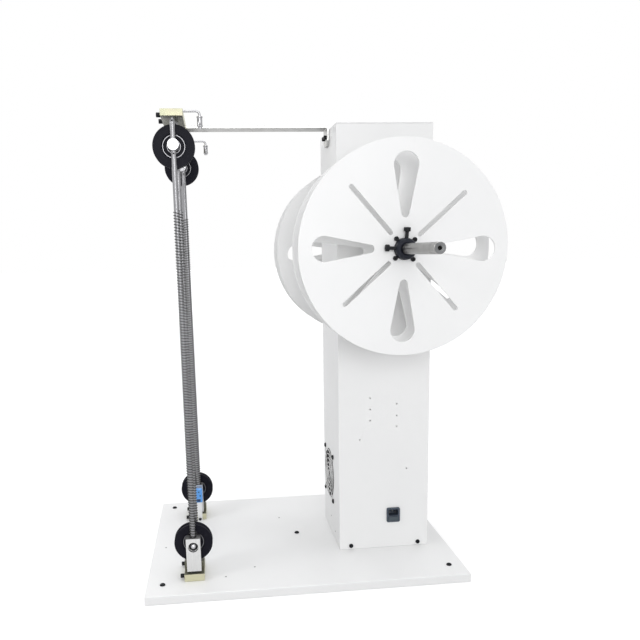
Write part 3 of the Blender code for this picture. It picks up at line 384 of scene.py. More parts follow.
def turned_metal(name, colour, roughness, metallic=1.0, ring_depth=0.18, fine=2600, ior=1.5):
    """Metal with the rings that a lathe leaves, read from each piece's own radius and height."""
    look = Look(name)
    turning = look.turning()
    rings = look.noise(fine, detail=3.0, rough=0.65, where=turning)
    broad = look.noise(fine * 0.16, where=turning)
    smear = look.noise(55, detail=5.0, rough=0.65)
    tone = look.mix(look.spread(rings, MIDDLE, WHOLE), shade(colour, 0.86), shade(colour, 1.06))
    tone = look.mix(look.spread(smear, (0.5, 0.75), (0.0, 0.5)), tone, shade(colour, 0.78))
    handled = look.spread(smear, (0.5, 0.8), (0.0, 0.12))
    dull = look.spread(broad, MIDDLE, (roughness * 0.8, roughness * 1.25)) + handled
    return look.surface(colour=tone, roughness=dull, metallic=metallic, ior=ior,
                        normal=look.bump(rings, ring_depth, DEEP))


def brushed_metal(name, colour, roughness, stretch, depth=0.12):
    """Metal with fine straight tool marks along one axis, and smears of handling."""
    look = Look(name)
    marks = look.noise(900, detail=4.0, rough=0.7, stretch=stretch)
    smear = look.noise(48, detail=5.0, rough=0.6)
    tone = look.mix(look.spread(marks, MIDDLE, WHOLE), shade(colour, 0.88), shade(colour, 1.06))
    tone = look.mix(look.spread(smear, (0.5, 0.78), (0.0, 0.45)), tone, shade(colour, 0.8))
    handled = look.spread(smear, (0.5, 0.8), (0.0, 0.1))
    dull = look.spread(marks, MIDDLE, (roughness * 0.85, roughness * 1.2)) + handled
    return look.surface(colour=tone, roughness=dull, metallic=1.0, normal=look.bump(marks, depth, DEEP))


def yellow_zinc(name, pale, green, pink, metallic):
    """Passivated zinc plate: pale yellow that drifts to green and pink over a dull grain."""
    look = Look(name)
    drift = look.noise(26, detail=4.0, rough=0.6)
    second = look.noise(61, detail=3.0, rough=0.55)
    grain = look.noise(1500, rough=0.6)
    tone = look.mix(look.spread(drift, (0.42, 0.7), (0.0, 0.8)), pale, green)
    tone = look.mix(look.spread(second, (0.52, 0.75), (0.0, 0.7)), tone, pink)
    dull = look.spread(drift, MIDDLE, (0.30, 0.44))
    return look.surface(colour=tone, roughness=dull, metallic=metallic, normal=look.bump(grain, 0.10, DEEP))


def moulded(name, colour, roughness, grain_scale=1400, depth=0.10):
    """Moulded plastic: a fine spark-eroded grain, dull where it is rubbed."""
    look = Look(name)
    grain = look.noise(grain_scale, rough=0.6)
    rub = look.spread(look.noise(70, detail=6.0, rough=0.7), (0.55, 0.75), WHOLE)
    tone = look.mix(rub * 0.25, colour, lift(colour, 0.03))
    dull = look.spread(grain, MIDDLE, (roughness - 0.04, roughness + 0.05)) + rub * 0.08
    return look.surface(colour=tone, roughness=dull, normal=look.bump(grain, depth, DEEP))


def turned_plastic(name, colour, roughness):
    """Nylon turned on a lathe: faint rings, with dust in them."""
    look = Look(name)
    rings = look.noise(1500, detail=3.0, rough=0.6, where=look.turning())
    dust = look.noise(90, detail=5.0, rough=0.7)
    tone = look.mix(look.spread(dust, (0.5, 0.75), (0.0, 0.6)), colour, lift(colour, 0.008))
    dull = look.spread(rings, MIDDLE, (roughness - 0.06, roughness + 0.06))
    return look.surface(colour=tone, roughness=dull, normal=look.bump(rings, 0.16, DEEP), ior=1.22)


WHITE_PAINT = powder_coat("white_powder_coat", (0.83, 0.83, 0.825), 0.44)
DISC_PAINT = powder_coat("white_disc_coat", (0.86, 0.86, 0.855), 0.36)
SHAFT_STEEL = turned_metal("ground_shaft_steel", (0.32, 0.318, 0.31), 0.30)
ROD_STEEL = turned_metal("ground_rod_steel", (0.28, 0.28, 0.29), 0.32, ring_depth=0.02)
END_STEEL = turned_metal("sawn_shaft_end", (0.14, 0.143, 0.145), 0.42)
BRIGHT_TURNED = turned_metal("bright_turned_steel", (0.62, 0.62, 0.62), 0.24)
WHITE_CHROME = turned_metal("satin_chrome", (0.60, 0.60, 0.62), 0.26, ring_depth=0.08)
DARK_TURNED = turned_metal("blackened_hub_steel", (0.009, 0.011, 0.019), 0.42, metallic=0.0, ring_depth=0.22,
                           fine=1800, ior=1.28)
BLACK_SCREW = turned_metal("black_oxide_screw", (0.006, 0.0065, 0.009), 0.42, metallic=0.0, ring_depth=0.10,
                           ior=1.28)
CHROME = turned_metal("polished_chrome", (0.34, 0.34, 0.35), 0.16, ring_depth=0.03)
SPRING_WIRE = turned_metal("drawn_spring_wire", (0.070, 0.070, 0.068), 0.42, ring_depth=0.10, fine=900)
MILLED = brushed_metal("milled_aluminium", (0.64, 0.64, 0.635), 0.34, stretch=(1.0, 1.0, 0.05))
# Shaded and lit copies of one drawn steel for the arm: the darker one is painted shade, and the lighter one,
# on its front and back faces, is painted light.
STEEL_BAR_SHADED = brushed_metal("drawn_flat_steel_shaded", (0.37, 0.367, 0.355), 0.36, stretch=(0.04, 1.0, 1.0))
STEEL_EDGE_LIT = brushed_metal("drawn_steel_edge_lit", (0.60, 0.60, 0.59), 0.40, stretch=(0.04, 1.0, 1.0))
GALVANISED = brushed_metal("galvanised_sheet", (0.62, 0.63, 0.64), 0.40, stretch=(1.0, 1.0, 0.5), depth=0.05)
ZINC = yellow_zinc("yellow_zinc_plate", (0.57, 0.55, 0.375), (0.505, 0.53, 0.365), (0.57, 0.505, 0.385),
                   metallic=0.25)
# A darker copy of the zinc plate, painted shade: it stands for shade on the cross bar's underside, the foot's
# top faces and the stop bar.
SHADED_ZINC = yellow_zinc("shaded_zinc_plate", (0.150, 0.148, 0.108), (0.120, 0.126, 0.090), (0.165, 0.143, 0.112),
                    metallic=0.5)
NYLON = turned_plastic("black_nylon", (0.004, 0.004, 0.009), 0.50)
SEAL = moulded("bearing_seal", (0.010, 0.010, 0.012), 0.6)
BLACK_PLASTIC = moulded("black_plastic", (0.018, 0.019, 0.022), 0.42)
NAVY_PLASTIC = moulded("inlet_plastic", (0.040, 0.054, 0.078), 0.44)
DRAWER_PLASTIC = moulded("fuse_drawer_plastic", (0.045, 0.062, 0.076), 0.46)
BLUE_PLASTIC = moulded("sensor_blue", (0.10, 0.33, 0.76), 0.32)
LENS = moulded("sensor_lens", (0.01, 0.04, 0.12), 0.12, depth=0.02)
RUBBER = moulded("black_rubber", (0.020, 0.020, 0.020), 0.78, grain_scale=800, depth=0.2)
MOTOR_PAINT = powder_coat("motor_paint", (0.060, 0.062, 0.066), 0.5)
BOARD = moulded("board_lacquer", (0.020, 0.16, 0.06), 0.35)
PLUG_GREY = moulded("plug_grey", (0.24, 0.24, 0.24), 0.7)
RING_STEEL = turned_metal("bearing_ring_steel", (0.20, 0.20, 0.21), 0.30)


def as_mesh(name, bm):
    """A bmesh written out as a mesh and freed."""
    mesh = bpy.data.meshes.new(name)
    bm.to_mesh(mesh)
    bm.free()
    return mesh


def newer(bm, before):
    """The points that a bmesh has gained since a moment."""
    return [v for v in bm.verts if v not in before]


def circle(bm, radius, segments, place, capped=False):
    made = bmesh.ops.create_circle(bm, cap_ends=capped, radius=radius, segments=segments, matrix=place)
    return list(made["verts"])


def spun(bm, verts, centre, axis, steps, turns=1, rise=0, closed=True):
    """Carry a ring of points round an axis, and along it by the rise at each step."""
    edges = list({e for v in verts for e in v.link_edges})
    bmesh.ops.spin(bm, geom=verts + edges, cent=centre, axis=axis, dvec=(0, 0, rise), angle=2 * pi * turns,
                   steps=steps, use_merge=closed)


def joined(bm):
    """Merge a bmesh's doubled points and make its flat faces whole."""
    bmesh.ops.remove_doubles(bm, verts=bm.verts, dist=MERGE)
    bmesh.ops.dissolve_limit(bm, angle_limit=FLAT, verts=bm.verts, edges=bm.edges)


def add_piece(name, bm, look, body, replaces=()):
    """Make an object of a bmesh, and say what it rides on, takes its finish from and stands for."""
    bmesh.ops.recalc_face_normals(bm, faces=bm.faces)
    mesh = as_mesh(name, bm)
    mesh.materials.append(look)
    mesh.shade_smooth()
    mesh.set_sharp_from_angle(angle=SHARP)
    piece = bpy.data.objects.new(name, mesh)
    scene.collection.objects.link(piece)
    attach(piece, body)
    if replaces:
        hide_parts(*replaces)
    return piece


def dress(node, look):
    """Give a CAD node that stays in sight its finish."""
    data = frame["nodes"][node].data
    data.materials.clear()
    data.materials.append(look)


def other_faces(piece, look, chosen):
    """Give the faces of a piece whose normals pass the test another finish."""
    piece.data.materials.append(look)
    for face in piece.data.polygons:
        if chosen(face.normal):
            face.material_index = 1


def soften(bm, width, angle=40):
    """Round every edge between faces that meet at more than the angle."""
    sharp = [e for e in bm.edges if len(e.link_faces) == 2 and e.calc_face_angle(0) > radians(angle)]
    bmesh.ops.bevel(bm, geom=sharp, offset=width, segments=2, profile=0.5, affect="EDGES", clamp_overlap=True,
                    material=-1)


def rounded(name, node, look, width, angle=40):
    """A copy of a CAD node with whole flat faces and rounded edges, which stands for it."""
    bm = bmesh.new()
    bm.from_mesh(frame["nodes"][node].data)
    joined(bm)
    soften(bm, width, angle)
    piece = add_piece(name, bm, look, BODY[node], (node,))
    for face in piece.data.polygons:
        if face.area > LARGE_FACE and max(abs(part) for part in face.normal) > SQUARE_ON:
            face.use_smooth = False
    return piece


def pointing(centre, direction):
    """A matrix that carries local +Z onto a direction, at a centre."""
    turn = Vector(UP).rotation_difference(Vector(direction)).to_matrix().to_4x4()
    return Matrix.Translation(centre) @ turn


def eased(profile, width):
    """A closed outline with each of its corners cut back, apart from those on the axis."""
    points = []
    count = len(profile)
    for k, here in enumerate(profile):
        before, after = profile[k - 1], profile[(k + 1) % count]
        if here[0] == 0:
            points.append(here)
            continue
        for other in (before, after):
            length = hypot(other[0] - here[0], other[1] - here[1])
            share = min(width / length, EASE_LIMIT)
            points.append(tuple(a + (b - a) * share for a, b in zip(here, other)))
    return points


def lathe(bm, profile, centre, direction, segments=ROUND, ease=EASE):
    """Turn a closed outline of (radius, height) points. Each point keeps the two for the finish."""
    turning = bm.verts.layers.float_vector.get("turning") or bm.verts.layers.float_vector.new("turning")
    outline = eased(profile, ease) if ease else profile
    before = set(bm.verts)
    points = [bm.verts.new((r, 0.0, h)) for r, h in outline]
    edges = [bm.edges.new((a, b)) for a, b in zip(points, points[1:] + points[:1])]
    bmesh.ops.spin(bm, geom=points + edges, cent=(0, 0, 0), axis=UP, dvec=(0, 0, 0), angle=2 * pi,
                   steps=segments, use_merge=True)
    made = newer(bm, before)
    bmesh.ops.remove_doubles(bm, verts=made, dist=MERGE)
    made = newer(bm, before)
    for v in made:
        v[turning] = (hypot(v.co.x, v.co.y), v.co.z, 0.0)
    bmesh.ops.transform(bm, matrix=pointing(centre, direction), verts=made)


def ring(inner, outer, low, high):
    return [(inner, low), (outer, low), (outer, high), (inner, high)]


def full(radius, low, high):
    return ring(0.0, radius, low, high)


def turned(name, look, body, profile, spots, segments=ROUND, ease=EASE, replaces=()):
    """One piece with the same turned shape at each (point, direction)."""
    bm = bmesh.new()
    for point, direction in spots:
        lathe(bm, profile, point, direction, segments, ease)
    return add_piece(name, bm, look, body, replaces)


def box(bm, low, high):
    size = [abs(b - a) for a, b in zip(low, high)]
    middle = [(a + b) / 2 for a, b in zip(low, high)]
    bmesh.ops.create_cube(bm, size=1.0, matrix=Matrix.Translation(middle) @ Matrix.Diagonal((*size, 1)))


def softened_box(name, look, body, low, high, width, replaces=()):
    bm = bmesh.new()
    box(bm, low, high)
    soften(bm, width)
    return add_piece(name, bm, look, body, replaces)


def rod(bm, centre, direction, low, high, radius, segments=SMALL_ROUND):
    place = pointing(centre, direction) @ Matrix.Translation((0, 0, (low + high) / 2))
    bmesh.ops.create_cone(bm, cap_ends=True, segments=segments, radius1=radius, radius2=radius,
                          depth=high - low, matrix=place)


def carved(bm, tool, operation="DIFFERENCE"):
    """The first solid with the second taken away, or joined on."""
    parts = []
    for k, part in enumerate((bm, tool)):
        bmesh.ops.recalc_face_normals(part, faces=part.faces)
        mesh = as_mesh("rough_%d" % k, part)
        parts.append(bpy.data.objects.new(mesh.name, mesh))
        scene.collection.objects.link(parts[-1])
    cut = parts[0].modifiers.new("cut", "BOOLEAN")
    cut.operation = operation
    cut.solver = "EXACT"
    cut.object = parts[1]
    graph = bpy.context.evaluated_depsgraph_get()
    result = bmesh.new()
    result.from_object(parts[0], graph)
    for part in parts:
        bpy.data.meshes.remove(part.data)
    joined(result)
    return result


def stamp(bm, template, place):
    """Add a copy of a template mesh to a bmesh, moved by a matrix."""
    before = set(bm.verts)
    bm.from_mesh(template)
    bmesh.ops.transform(bm, matrix=place, verts=newer(bm, before))


def extend(bm, verts, shift):
    """Carry an open end of a tube on in a straight line, and return its new end."""
    cap = {f for v in verts for f in v.link_faces if all(w in verts for w in f.verts)}
    made = bmesh.ops.extrude_face_region(bm, geom=list(cap))["geom"]
    moved = [v for v in made if isinstance(v, bmesh.types.BMVert)]
    bmesh.ops.translate(bm, vec=shift, verts=moved)
    return moved


def swing(bm, verts, centre, axis, angle, steps):
    """Carry an open end of a tube round a bend, and return its new end."""
    for _ in range(steps):
        verts = extend(bm, verts, Vector((0, 0, 0)))
        bmesh.ops.rotate(bm, cent=centre, matrix=Matrix.Rotation(angle / steps, 3, axis), verts=verts)
    return verts


# A domed head's outline and a key hole, as shares of the head's radius and height
DOME = ((1.0, 0.25), (0.93, 0.6), (0.74, 0.9), (0.55, 1.0))
KEY_FLOOR, KEY_MOUTH, KEY_SIDES = 0.45, 1.5, 6
HEAD_EASE_SHARE = 0.12


def make_screw(head_radius, head_height, key_radius, domed, shank=0.0, shank_radius=0.0):
    """A socket screw's head with its six-sided key hole, standing on the origin along +Z."""
    bm = bmesh.new()
    profile = full(head_radius, 0.0, head_height)
    if domed:
        profile[2:3] = [(head_radius * across, head_height * up) for across, up in DOME]
    if shank:
        profile = [(0.0, -shank), (shank_radius, -shank), (shank_radius, 0.0)] + profile[1:]
    lathe(bm, profile, (0, 0, 0), UP, SMALL_ROUND, 0.0 if domed else head_radius * HEAD_EASE_SHARE)
    tool = bmesh.new()
    rod(tool, (0, 0, 0), UP, head_height * KEY_FLOOR, head_height * KEY_MOUTH, key_radius, KEY_SIDES)
    bm = carved(bm, tool)
    return as_mesh("screw_shape", bm)


def set_screws(name, template, places, body="stand"):
    """One piece with a copy of a screw at each (point, direction)."""
    bm = bmesh.new()
    for point, direction in places:
        stamp(bm, template, pointing(point, direction))
    return add_piece(name, bm, BLACK_SCREW, body)


# Each screw's head radius, head height and key hole's radius come first
BUTTON_M6 = make_screw(0.0056, 0.0034, 0.0021, domed=True)
BUTTON_M5 = make_screw(0.0048, 0.0030, 0.0018, domed=True)
BUTTON_LOW = make_screw(0.0048, 0.0012, 0.0018, domed=True)
CAP_M5 = make_screw(0.0044, 0.0050, 0.0022, domed=False)
CAP_M4 = make_screw(0.0036, 0.0040, 0.0017, domed=False)
CAP_LONG = make_screw(0.0044, 0.0085, 0.0022, domed=False)
CAP_CLAMP = make_screw(0.0064, 0.0075, 0.0032, domed=False, shank=0.0150, shank_radius=0.0034)


def side_point(side, x, depth, z):
    return (x, side * depth, z)


def rod_places(side):
    """Where the outer and the inner rod of a side's tower stand."""
    return [(TOWER_X, side * (TOWER_Y + ROD_OFFSET)),
            (TOWER_X + INNER_ROD_SHIFT, side * (TOWER_Y - ROD_OFFSET))]


def make_base():
    dress("base_plate", WHITE_PAINT)
    set_screws("base_screws", BUTTON_M6, [((x, y, BASE_TOP), UP) for x, y in BASE_SCREWS])
    spots = [((x, y, BASE_TOP - PLUG_SUNK), UP) for x, y in BASE_PLUGS]
    turned("base_plugs", PLUG_GREY, "stand", full(BASE_PLUG_RADIUS, 0.0, PLUG_HEIGHT), spots,
           SMALL_ROUND, FINE_EASE)


def make_column():
    rounded("column", "column_shell", WHITE_PAINT, width=0.0011, angle=50)
    rounded("column_cap", "top_cap", WHITE_PAINT, width=0.0008)
    rounded("column_cover", "rear_cover", WHITE_PAINT, width=0.0006)
    spots = [(side_point(side, COLUMN_X + x, COLUMN_FACE, FOOT_SCREW_Z), (0, side, 0))
             for x in FOOT_SCREW_XS for side in (-1, 1)]
    spots += [((COLUMN_X + x, COLUMN_FACE, z), (0, 1, 0)) for z in COVER_SCREW_ZS for x in COVER_SCREW_XS]
    set_screws("column_screws", BUTTON_M5, spots)
    spots = [((COLUMN_LEFT + PLUG_SUNK, y, z), LEFT) for y, z in COLUMN_PLUGS]
    turned("column_plugs", PLUG_GREY, "stand", full(COLUMN_PLUG_RADIUS, 0.0, PLUG_HEIGHT),
           spots, SMALL_ROUND, FINE_EASE)


def make_top():
    """The notched cross bar, whose underside is painted darker as shade, and the bent flat bar that joins it
    to the column, whose front and back faces are painted lighter as light.
    """
    bar = rounded("tower_cross_bar", "cross_bar", ZINC, width=0.0008)
    # The cross bar's downward faces take the darker zinc copy: painted shade.
    other_faces(bar, SHADED_ZINC, lambda normal: normal.z < -FACING)
    arm = rounded("column_arm", "top_arm", STEEL_BAR_SHADED, width=0.0005)
    # Front and back faces take the lighter steel copy, painted light; the rest keeps the darker copy, painted
    # shade.
    other_faces(arm, STEEL_EDGE_LIT, lambda normal: abs(normal.y) > FACING)
    set_screws("arm_screws", CAP_M5, [((ARM_SCREW_X, y, ARM_SCREW_Z), LEFT) for y in ARM_SCREW_YS])
    bar_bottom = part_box("cross_bar")[0].z
    spots = [((LAP_SCREW_X, y, bar_bottom), DOWN) for y in LAP_SCREW_YS]
    set_screws("arm_lap_screws", BUTTON_M5, spots)
    spots = [((TOWER_LEFT, side * y, BAR_SCREW_Z), LEFT) for _, side in SIDES for y in BAR_SCREW_YS]
    set_screws("cross_bar_screws", CAP_LONG, spots)
    spots = [((x, y, BAR_TOP), UP) for _, side in SIDES for x, y in rod_places(side)]
    set_screws("rod_top_screws", BUTTON_LOW, spots)


def make_wheel(name, node, side, height):
    """A grooved nylon wheel on a ball bearing, whose steel rings and seals show on both sides."""
    body = BODY[node]
    spot = (side_point(side, TOWER_X, TOWER_Y, height), (0, side, 0))
    outline = WHEEL_HALF + [(r, -h) for r, h in reversed(WHEEL_HALF)]
    turned(name + "_rim", NYLON, body, outline, [spot], FINE_ROUND, 0.0, replaces=(node,))
    bm = bmesh.new()
    for end in (1, -1):
        lathe(bm, ring(*SNAP_RING, end * SNAP_RING_INSIDE, end * SNAP_RING_OUTSIDE), *spot, ROUND, RING_EASE)
    for (inner, outer, half), segments in ((OUTER_RING, ROUND), (INNER_RING, RING_ROUND)):
        lathe(bm, ring(inner, outer, -half, half), *spot, segments, RING_EASE)
    add_piece(name + "_bearing", bm, RING_STEEL, body)
    inner, outer, half = SEAL_RING
    turned(name + "_seal", SEAL, body, ring(inner, outer, -half, half), [spot], RING_ROUND,
           RING_EASE)


def make_springs(prefix, side):
    """Close-wound return springs, drawn turn by turn."""
    rise = (COIL_HIGH - COIL_LOW - 2 * COIL_WIRE) / COIL_TURNS
    for (x, y), kind in zip(rod_places(side), ("outer", "inner")):
        bm = bmesh.new()
        start = (x + COIL_RADIUS, y, COIL_LOW + COIL_WIRE)
        place = Matrix.Translation(start) @ Matrix.Rotation(pi / 2, 4, "X")
        spun(bm, circle(bm, COIL_WIRE, COIL_SIDES, place), (x, y, 0), (0, 0, side), COIL_TURNS * COIL_STEPS,
             COIL_TURNS, rise / COIL_STEPS, closed=False)
        bmesh.ops.holes_fill(bm, edges=[e for e in bm.edges if e.is_boundary], sides=0)
        name = prefix + kind
        coil = add_piece(name + "_coil", bm, SPRING_WIRE, "stand", (name + "_spring",))
        coil.data.set_sharp_from_angle(angle=COIL_SHARP)
        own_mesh(coil)


def make_tower(prefix, side):
    """Wheels, rods, upper axle, foot, carriage and springs of one tower."""
    for level, height, wheel in (("upper", UPPER_Z, "top_wheel"), ("lower", LOWER_Z, "dancer_wheel")):
        make_wheel(prefix + wheel, prefix + level + "_pulley", side, height)
    for (x, y), kind in zip(rod_places(side), ("outer", "inner")):
        turned(prefix + kind + "_guide_rod", ROD_STEEL, "stand",
               full(ROD_RADIUS, ROD_LOW, ROD_HIGH), [((x, y, 0), UP)], ROD_ROUND,
               replaces=(prefix + kind + "_rod",))
    floor = AXLE_REACH - AXLE_HOLE_DEPTH
    profile = [(0.0, -AXLE_REACH), (AXLE_BOSS, -AXLE_REACH), (AXLE_BOSS, -AXLE_SHOULDER),
               (AXLE_WAIST, -AXLE_SHOULDER), (AXLE_WAIST, AXLE_SHOULDER), (AXLE_BOSS, AXLE_SHOULDER),
               (AXLE_BOSS, AXLE_REACH), (AXLE_HOLE, AXLE_REACH), (AXLE_HOLE_FLOOR, floor), (0.0, floor)]
    spot = (side_point(side, TOWER_X, TOWER_Y, UPPER_Z), (0, side, 0))
    turned(prefix + "axle_bosses", WHITE_CHROME, "stand", profile, [spot], ROUND, AXLE_EASE,
           replaces=(prefix + "upper_axle",))
    spots = [((x, y + side * (ROD_RADIUS + GRUB_GAP) * outward, z), (0, side * outward, 0))
             for (x, y), outward in zip(rod_places(side), (1, -1)) for z in GRUB_ZS]
    turned(prefix + "grub_screws", BLACK_SCREW, "stand",
           full(GRUB_RADIUS, PIN_SUNK, GRUB_PROUD), spots, TINY_ROUND, FINE_EASE)
    make_foot(prefix, side)
    make_carriage(prefix, side)
    make_springs(prefix, side)


def make_foot(prefix, side):
    """A plated foot with a stop bar across it, a rubber bumper round each rod and two screws."""
    right = TOWER_X + TOWER_HALF
    foot = softened_box(prefix + "foot_plate", ZINC, "stand",
                        (TOWER_LEFT, side * (TOWER_Y - FOOT_REACH), FOOT_LOW),
                        (right, side * (TOWER_Y + FOOT_REACH), FOOT_HIGH), width=0.0007,
                        replaces=(prefix + "foot",))
    # The foot's top faces and the stop bar take the darker zinc copy: painted shade.
    other_faces(foot, SHADED_ZINC, lambda normal: normal.z > FACING)
    softened_box(prefix + "foot_stop", SHADED_ZINC, "stand",
                 (TOWER_LEFT, side * TOWER_Y - STOP_HALF, FOOT_HIGH - STOP_SUNK),
                 (right, side * TOWER_Y + STOP_HALF, STOP_TOP), width=0.0006)
    turned(prefix + "bumpers", RUBBER, "stand",
           ring(*BUMPER, FOOT_HIGH - BUMPER_SUNK, FOOT_HIGH + BUMPER_HEIGHT),
           [((x, y, 0), UP) for x, y in rod_places(side)], RING_ROUND)
    spots = [((TOWER_LEFT, side * y, TOWER_FOOT_SCREW_Z), LEFT) for y in FOOT_SCREW_YS]
    set_screws(prefix + "foot_screws", CAP_LONG, spots)


def make_carriage(prefix, side):
    """The milled blocks, the lower axle's ends on their washers, and the bushes round the rods."""
    body = prefix + "dancer"
    rounded(prefix + "carriage_blocks", prefix + "carriage", MILLED, width=0.0006)
    spots = []
    for end in (1, -1):
        face = TOWER_Y + end * (ROD_OFFSET + BLOCK_REACH)
        spots.append((side_point(side, TOWER_X, face - end * COUNTERBORE, LOWER_Z), (0, end * side, 0)))
    turned(prefix + "axle_ends", WHITE_CHROME, body, AXLE_END, spots, ROD_ROUND, 0.0)
    turned(prefix + "axle_washers", BLACK_SCREW, body, ring(*WASHER), spots, ROD_ROUND,
           SOCKET_EASE)
    spots = [((x, y, z), (0, 0, way)) for x, y in rod_places(side) for z, way in BUSH_SPOTS]
    turned(prefix + "bushes", NYLON, body, ring(*BUSH), spots, ROD_ROUND, FINE_EASE)


def make_sensor(prefix, side):
    """A blue proximity switch with its lens and screws, on a white bracket."""
    low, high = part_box(prefix + "sensor")
    near = low.y if side > 0 else high.y
    way = -side
    softened_box(prefix + "switch_body", BLUE_PLASTIC, "stand", low, high, width=0.0012,
                 replaces=(prefix + "sensor",))
    softened_box(prefix + "switch_lens", LENS, "stand",
                 (low.x + LENS_LEFT, near + way * LENS_PROUD, low.z + LENS_LOW),
                 (high.x - LENS_RIGHT, near - way * LENS_SUNK, low.z + LENS_HIGH), width=0.0004)
    middle = (low + high) / 2
    spots = [((middle.x, near, high.z - SWITCH_PIN_DROP), (0, way, 0)),
             ((middle.x + SWITCH_PIN_SHIFT, near, middle.z), (0, way, 0))]
    turned(prefix + "switch_screws", BLACK_SCREW, "stand",
           full(SWITCH_PIN_RADIUS, PIN_SUNK, SWITCH_PIN_PROUD), spots, TINY_ROUND, SOCKET_EASE)
    rounded(prefix + "switch_bracket", prefix + "sensor_bracket", WHITE_PAINT, width=0.0004)
    low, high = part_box(prefix + "sensor_bracket")
    foot_y = (low.y + BRACKET_SCREW_INSET) if side > 0 else (high.y - BRACKET_SCREW_INSET)
    set_screws(prefix + "bracket_screws", CAP_M4, [(((low.x + high.x) / 2, foot_y, BRACKET_SCREW_Z), UP)])


def make_guide(prefix, side):
    """A bright bent wire that leaves the cross bar and turns down through a hollow roller."""
    low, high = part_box(prefix + "wire_guide")
    y, end_x = GUIDE_PLACES[side], GUIDE_ENDS[side]
    start = TOWER_X + TOWER_HALF - GUIDE_SUNK
    top = high.z - GUIDE_WIRE
    turning_point = end_x - GUIDE_BEND
    bm = bmesh.new()
    place = Matrix.Translation((start, y, top)) @ Matrix.Rotation(pi / 2, 4, "Y")
    section = circle(bm, GUIDE_WIRE, GUIDE_SIDES, place, capped=True)
    section = extend(bm, section, Vector((turning_point - start, 0, 0)))
    section = swing(bm, section, (turning_point, y, top - GUIDE_BEND), (0, 1, 0), pi / 2, GUIDE_BEND_STEPS)
    extend(bm, section, Vector((0, 0, low.z - (top - GUIDE_BEND))))
    add_piece(prefix + "bent_wire", bm, CHROME, "stand", (prefix + "wire_guide",))
    spot = ((end_x, y, 0), UP)
    turned(prefix + "wire_stop", CHROME, "stand",
           ring(GUIDE_WIRE, COLLAR_RADIUS, low.z, low.z + COLLAR_HEIGHT), [spot], ROD_ROUND, RING_EASE)
    low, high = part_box(prefix + "guide_roller")
    bore, outer = GUIDE_WIRE + ROLLER_ROOM, (high.x - low.x) / 2
    waist = outer - ROLLER_WAIST
    profile = [(bore, low.z), (outer, low.z), (outer, low.z + ROLLER_RIM), (waist, low.z + ROLLER_SLOPE),
               (waist, high.z - ROLLER_SLOPE), (outer, high.z - ROLLER_RIM), (outer, high.z), (bore, high.z)]
    turned(prefix + "eye_roller", CHROME, prefix + "eye", profile, [spot], ROLLER_ROUND,
           SOCKET_EASE, replaces=(prefix + "guide_roller",))


def opening(tool, ends, lean, centre):
    """A prism drawn round two circles, which lie one behind the other along a line from the centre."""
    before = set(tool.verts)
    for distance, radius in ends:
        middle = Vector(centre) + Vector((cos(lean), 0, sin(lean))) * distance
        for y in (-CUT_HALF, CUT_HALF):
            place = Matrix.Translation(middle + Vector((0, y, 0))) @ Matrix.Rotation(pi / 2, 4, "X")
            circle(tool, radius, OPENING_ROUND, place)
    bmesh.ops.convex_hull(tool, input=newer(tool, before))


def make_disc(name, node, side, depth, bore, tilt, lead):
    """A disc with four teardrops, and four slots that lie off the middle between them by the lead."""
    centre = side_point(side, COLUMN_X, depth, AXIS_Z)
    along = (0, 1, 0)
    bm = bmesh.new()
    rod(bm, centre, along, -DISC_HALF, DISC_HALF, DISC_RADIUS, DISC_ROUND)
    tool = bmesh.new()
    for quarter in range(4):
        opening(tool, DROP, tilt + quarter * pi / 2, centre)
        opening(tool, SLOT, tilt + pi / 4 + lead + quarter * pi / 2, centre)
    rod(tool, centre, along, -CUT_HALF, CUT_HALF, bore, ROUND)
    bm = carved(bm, tool)
    soften(bm, width=0.0005)
    add_piece(name, bm, DISC_PAINT, BODY[node], (node,))


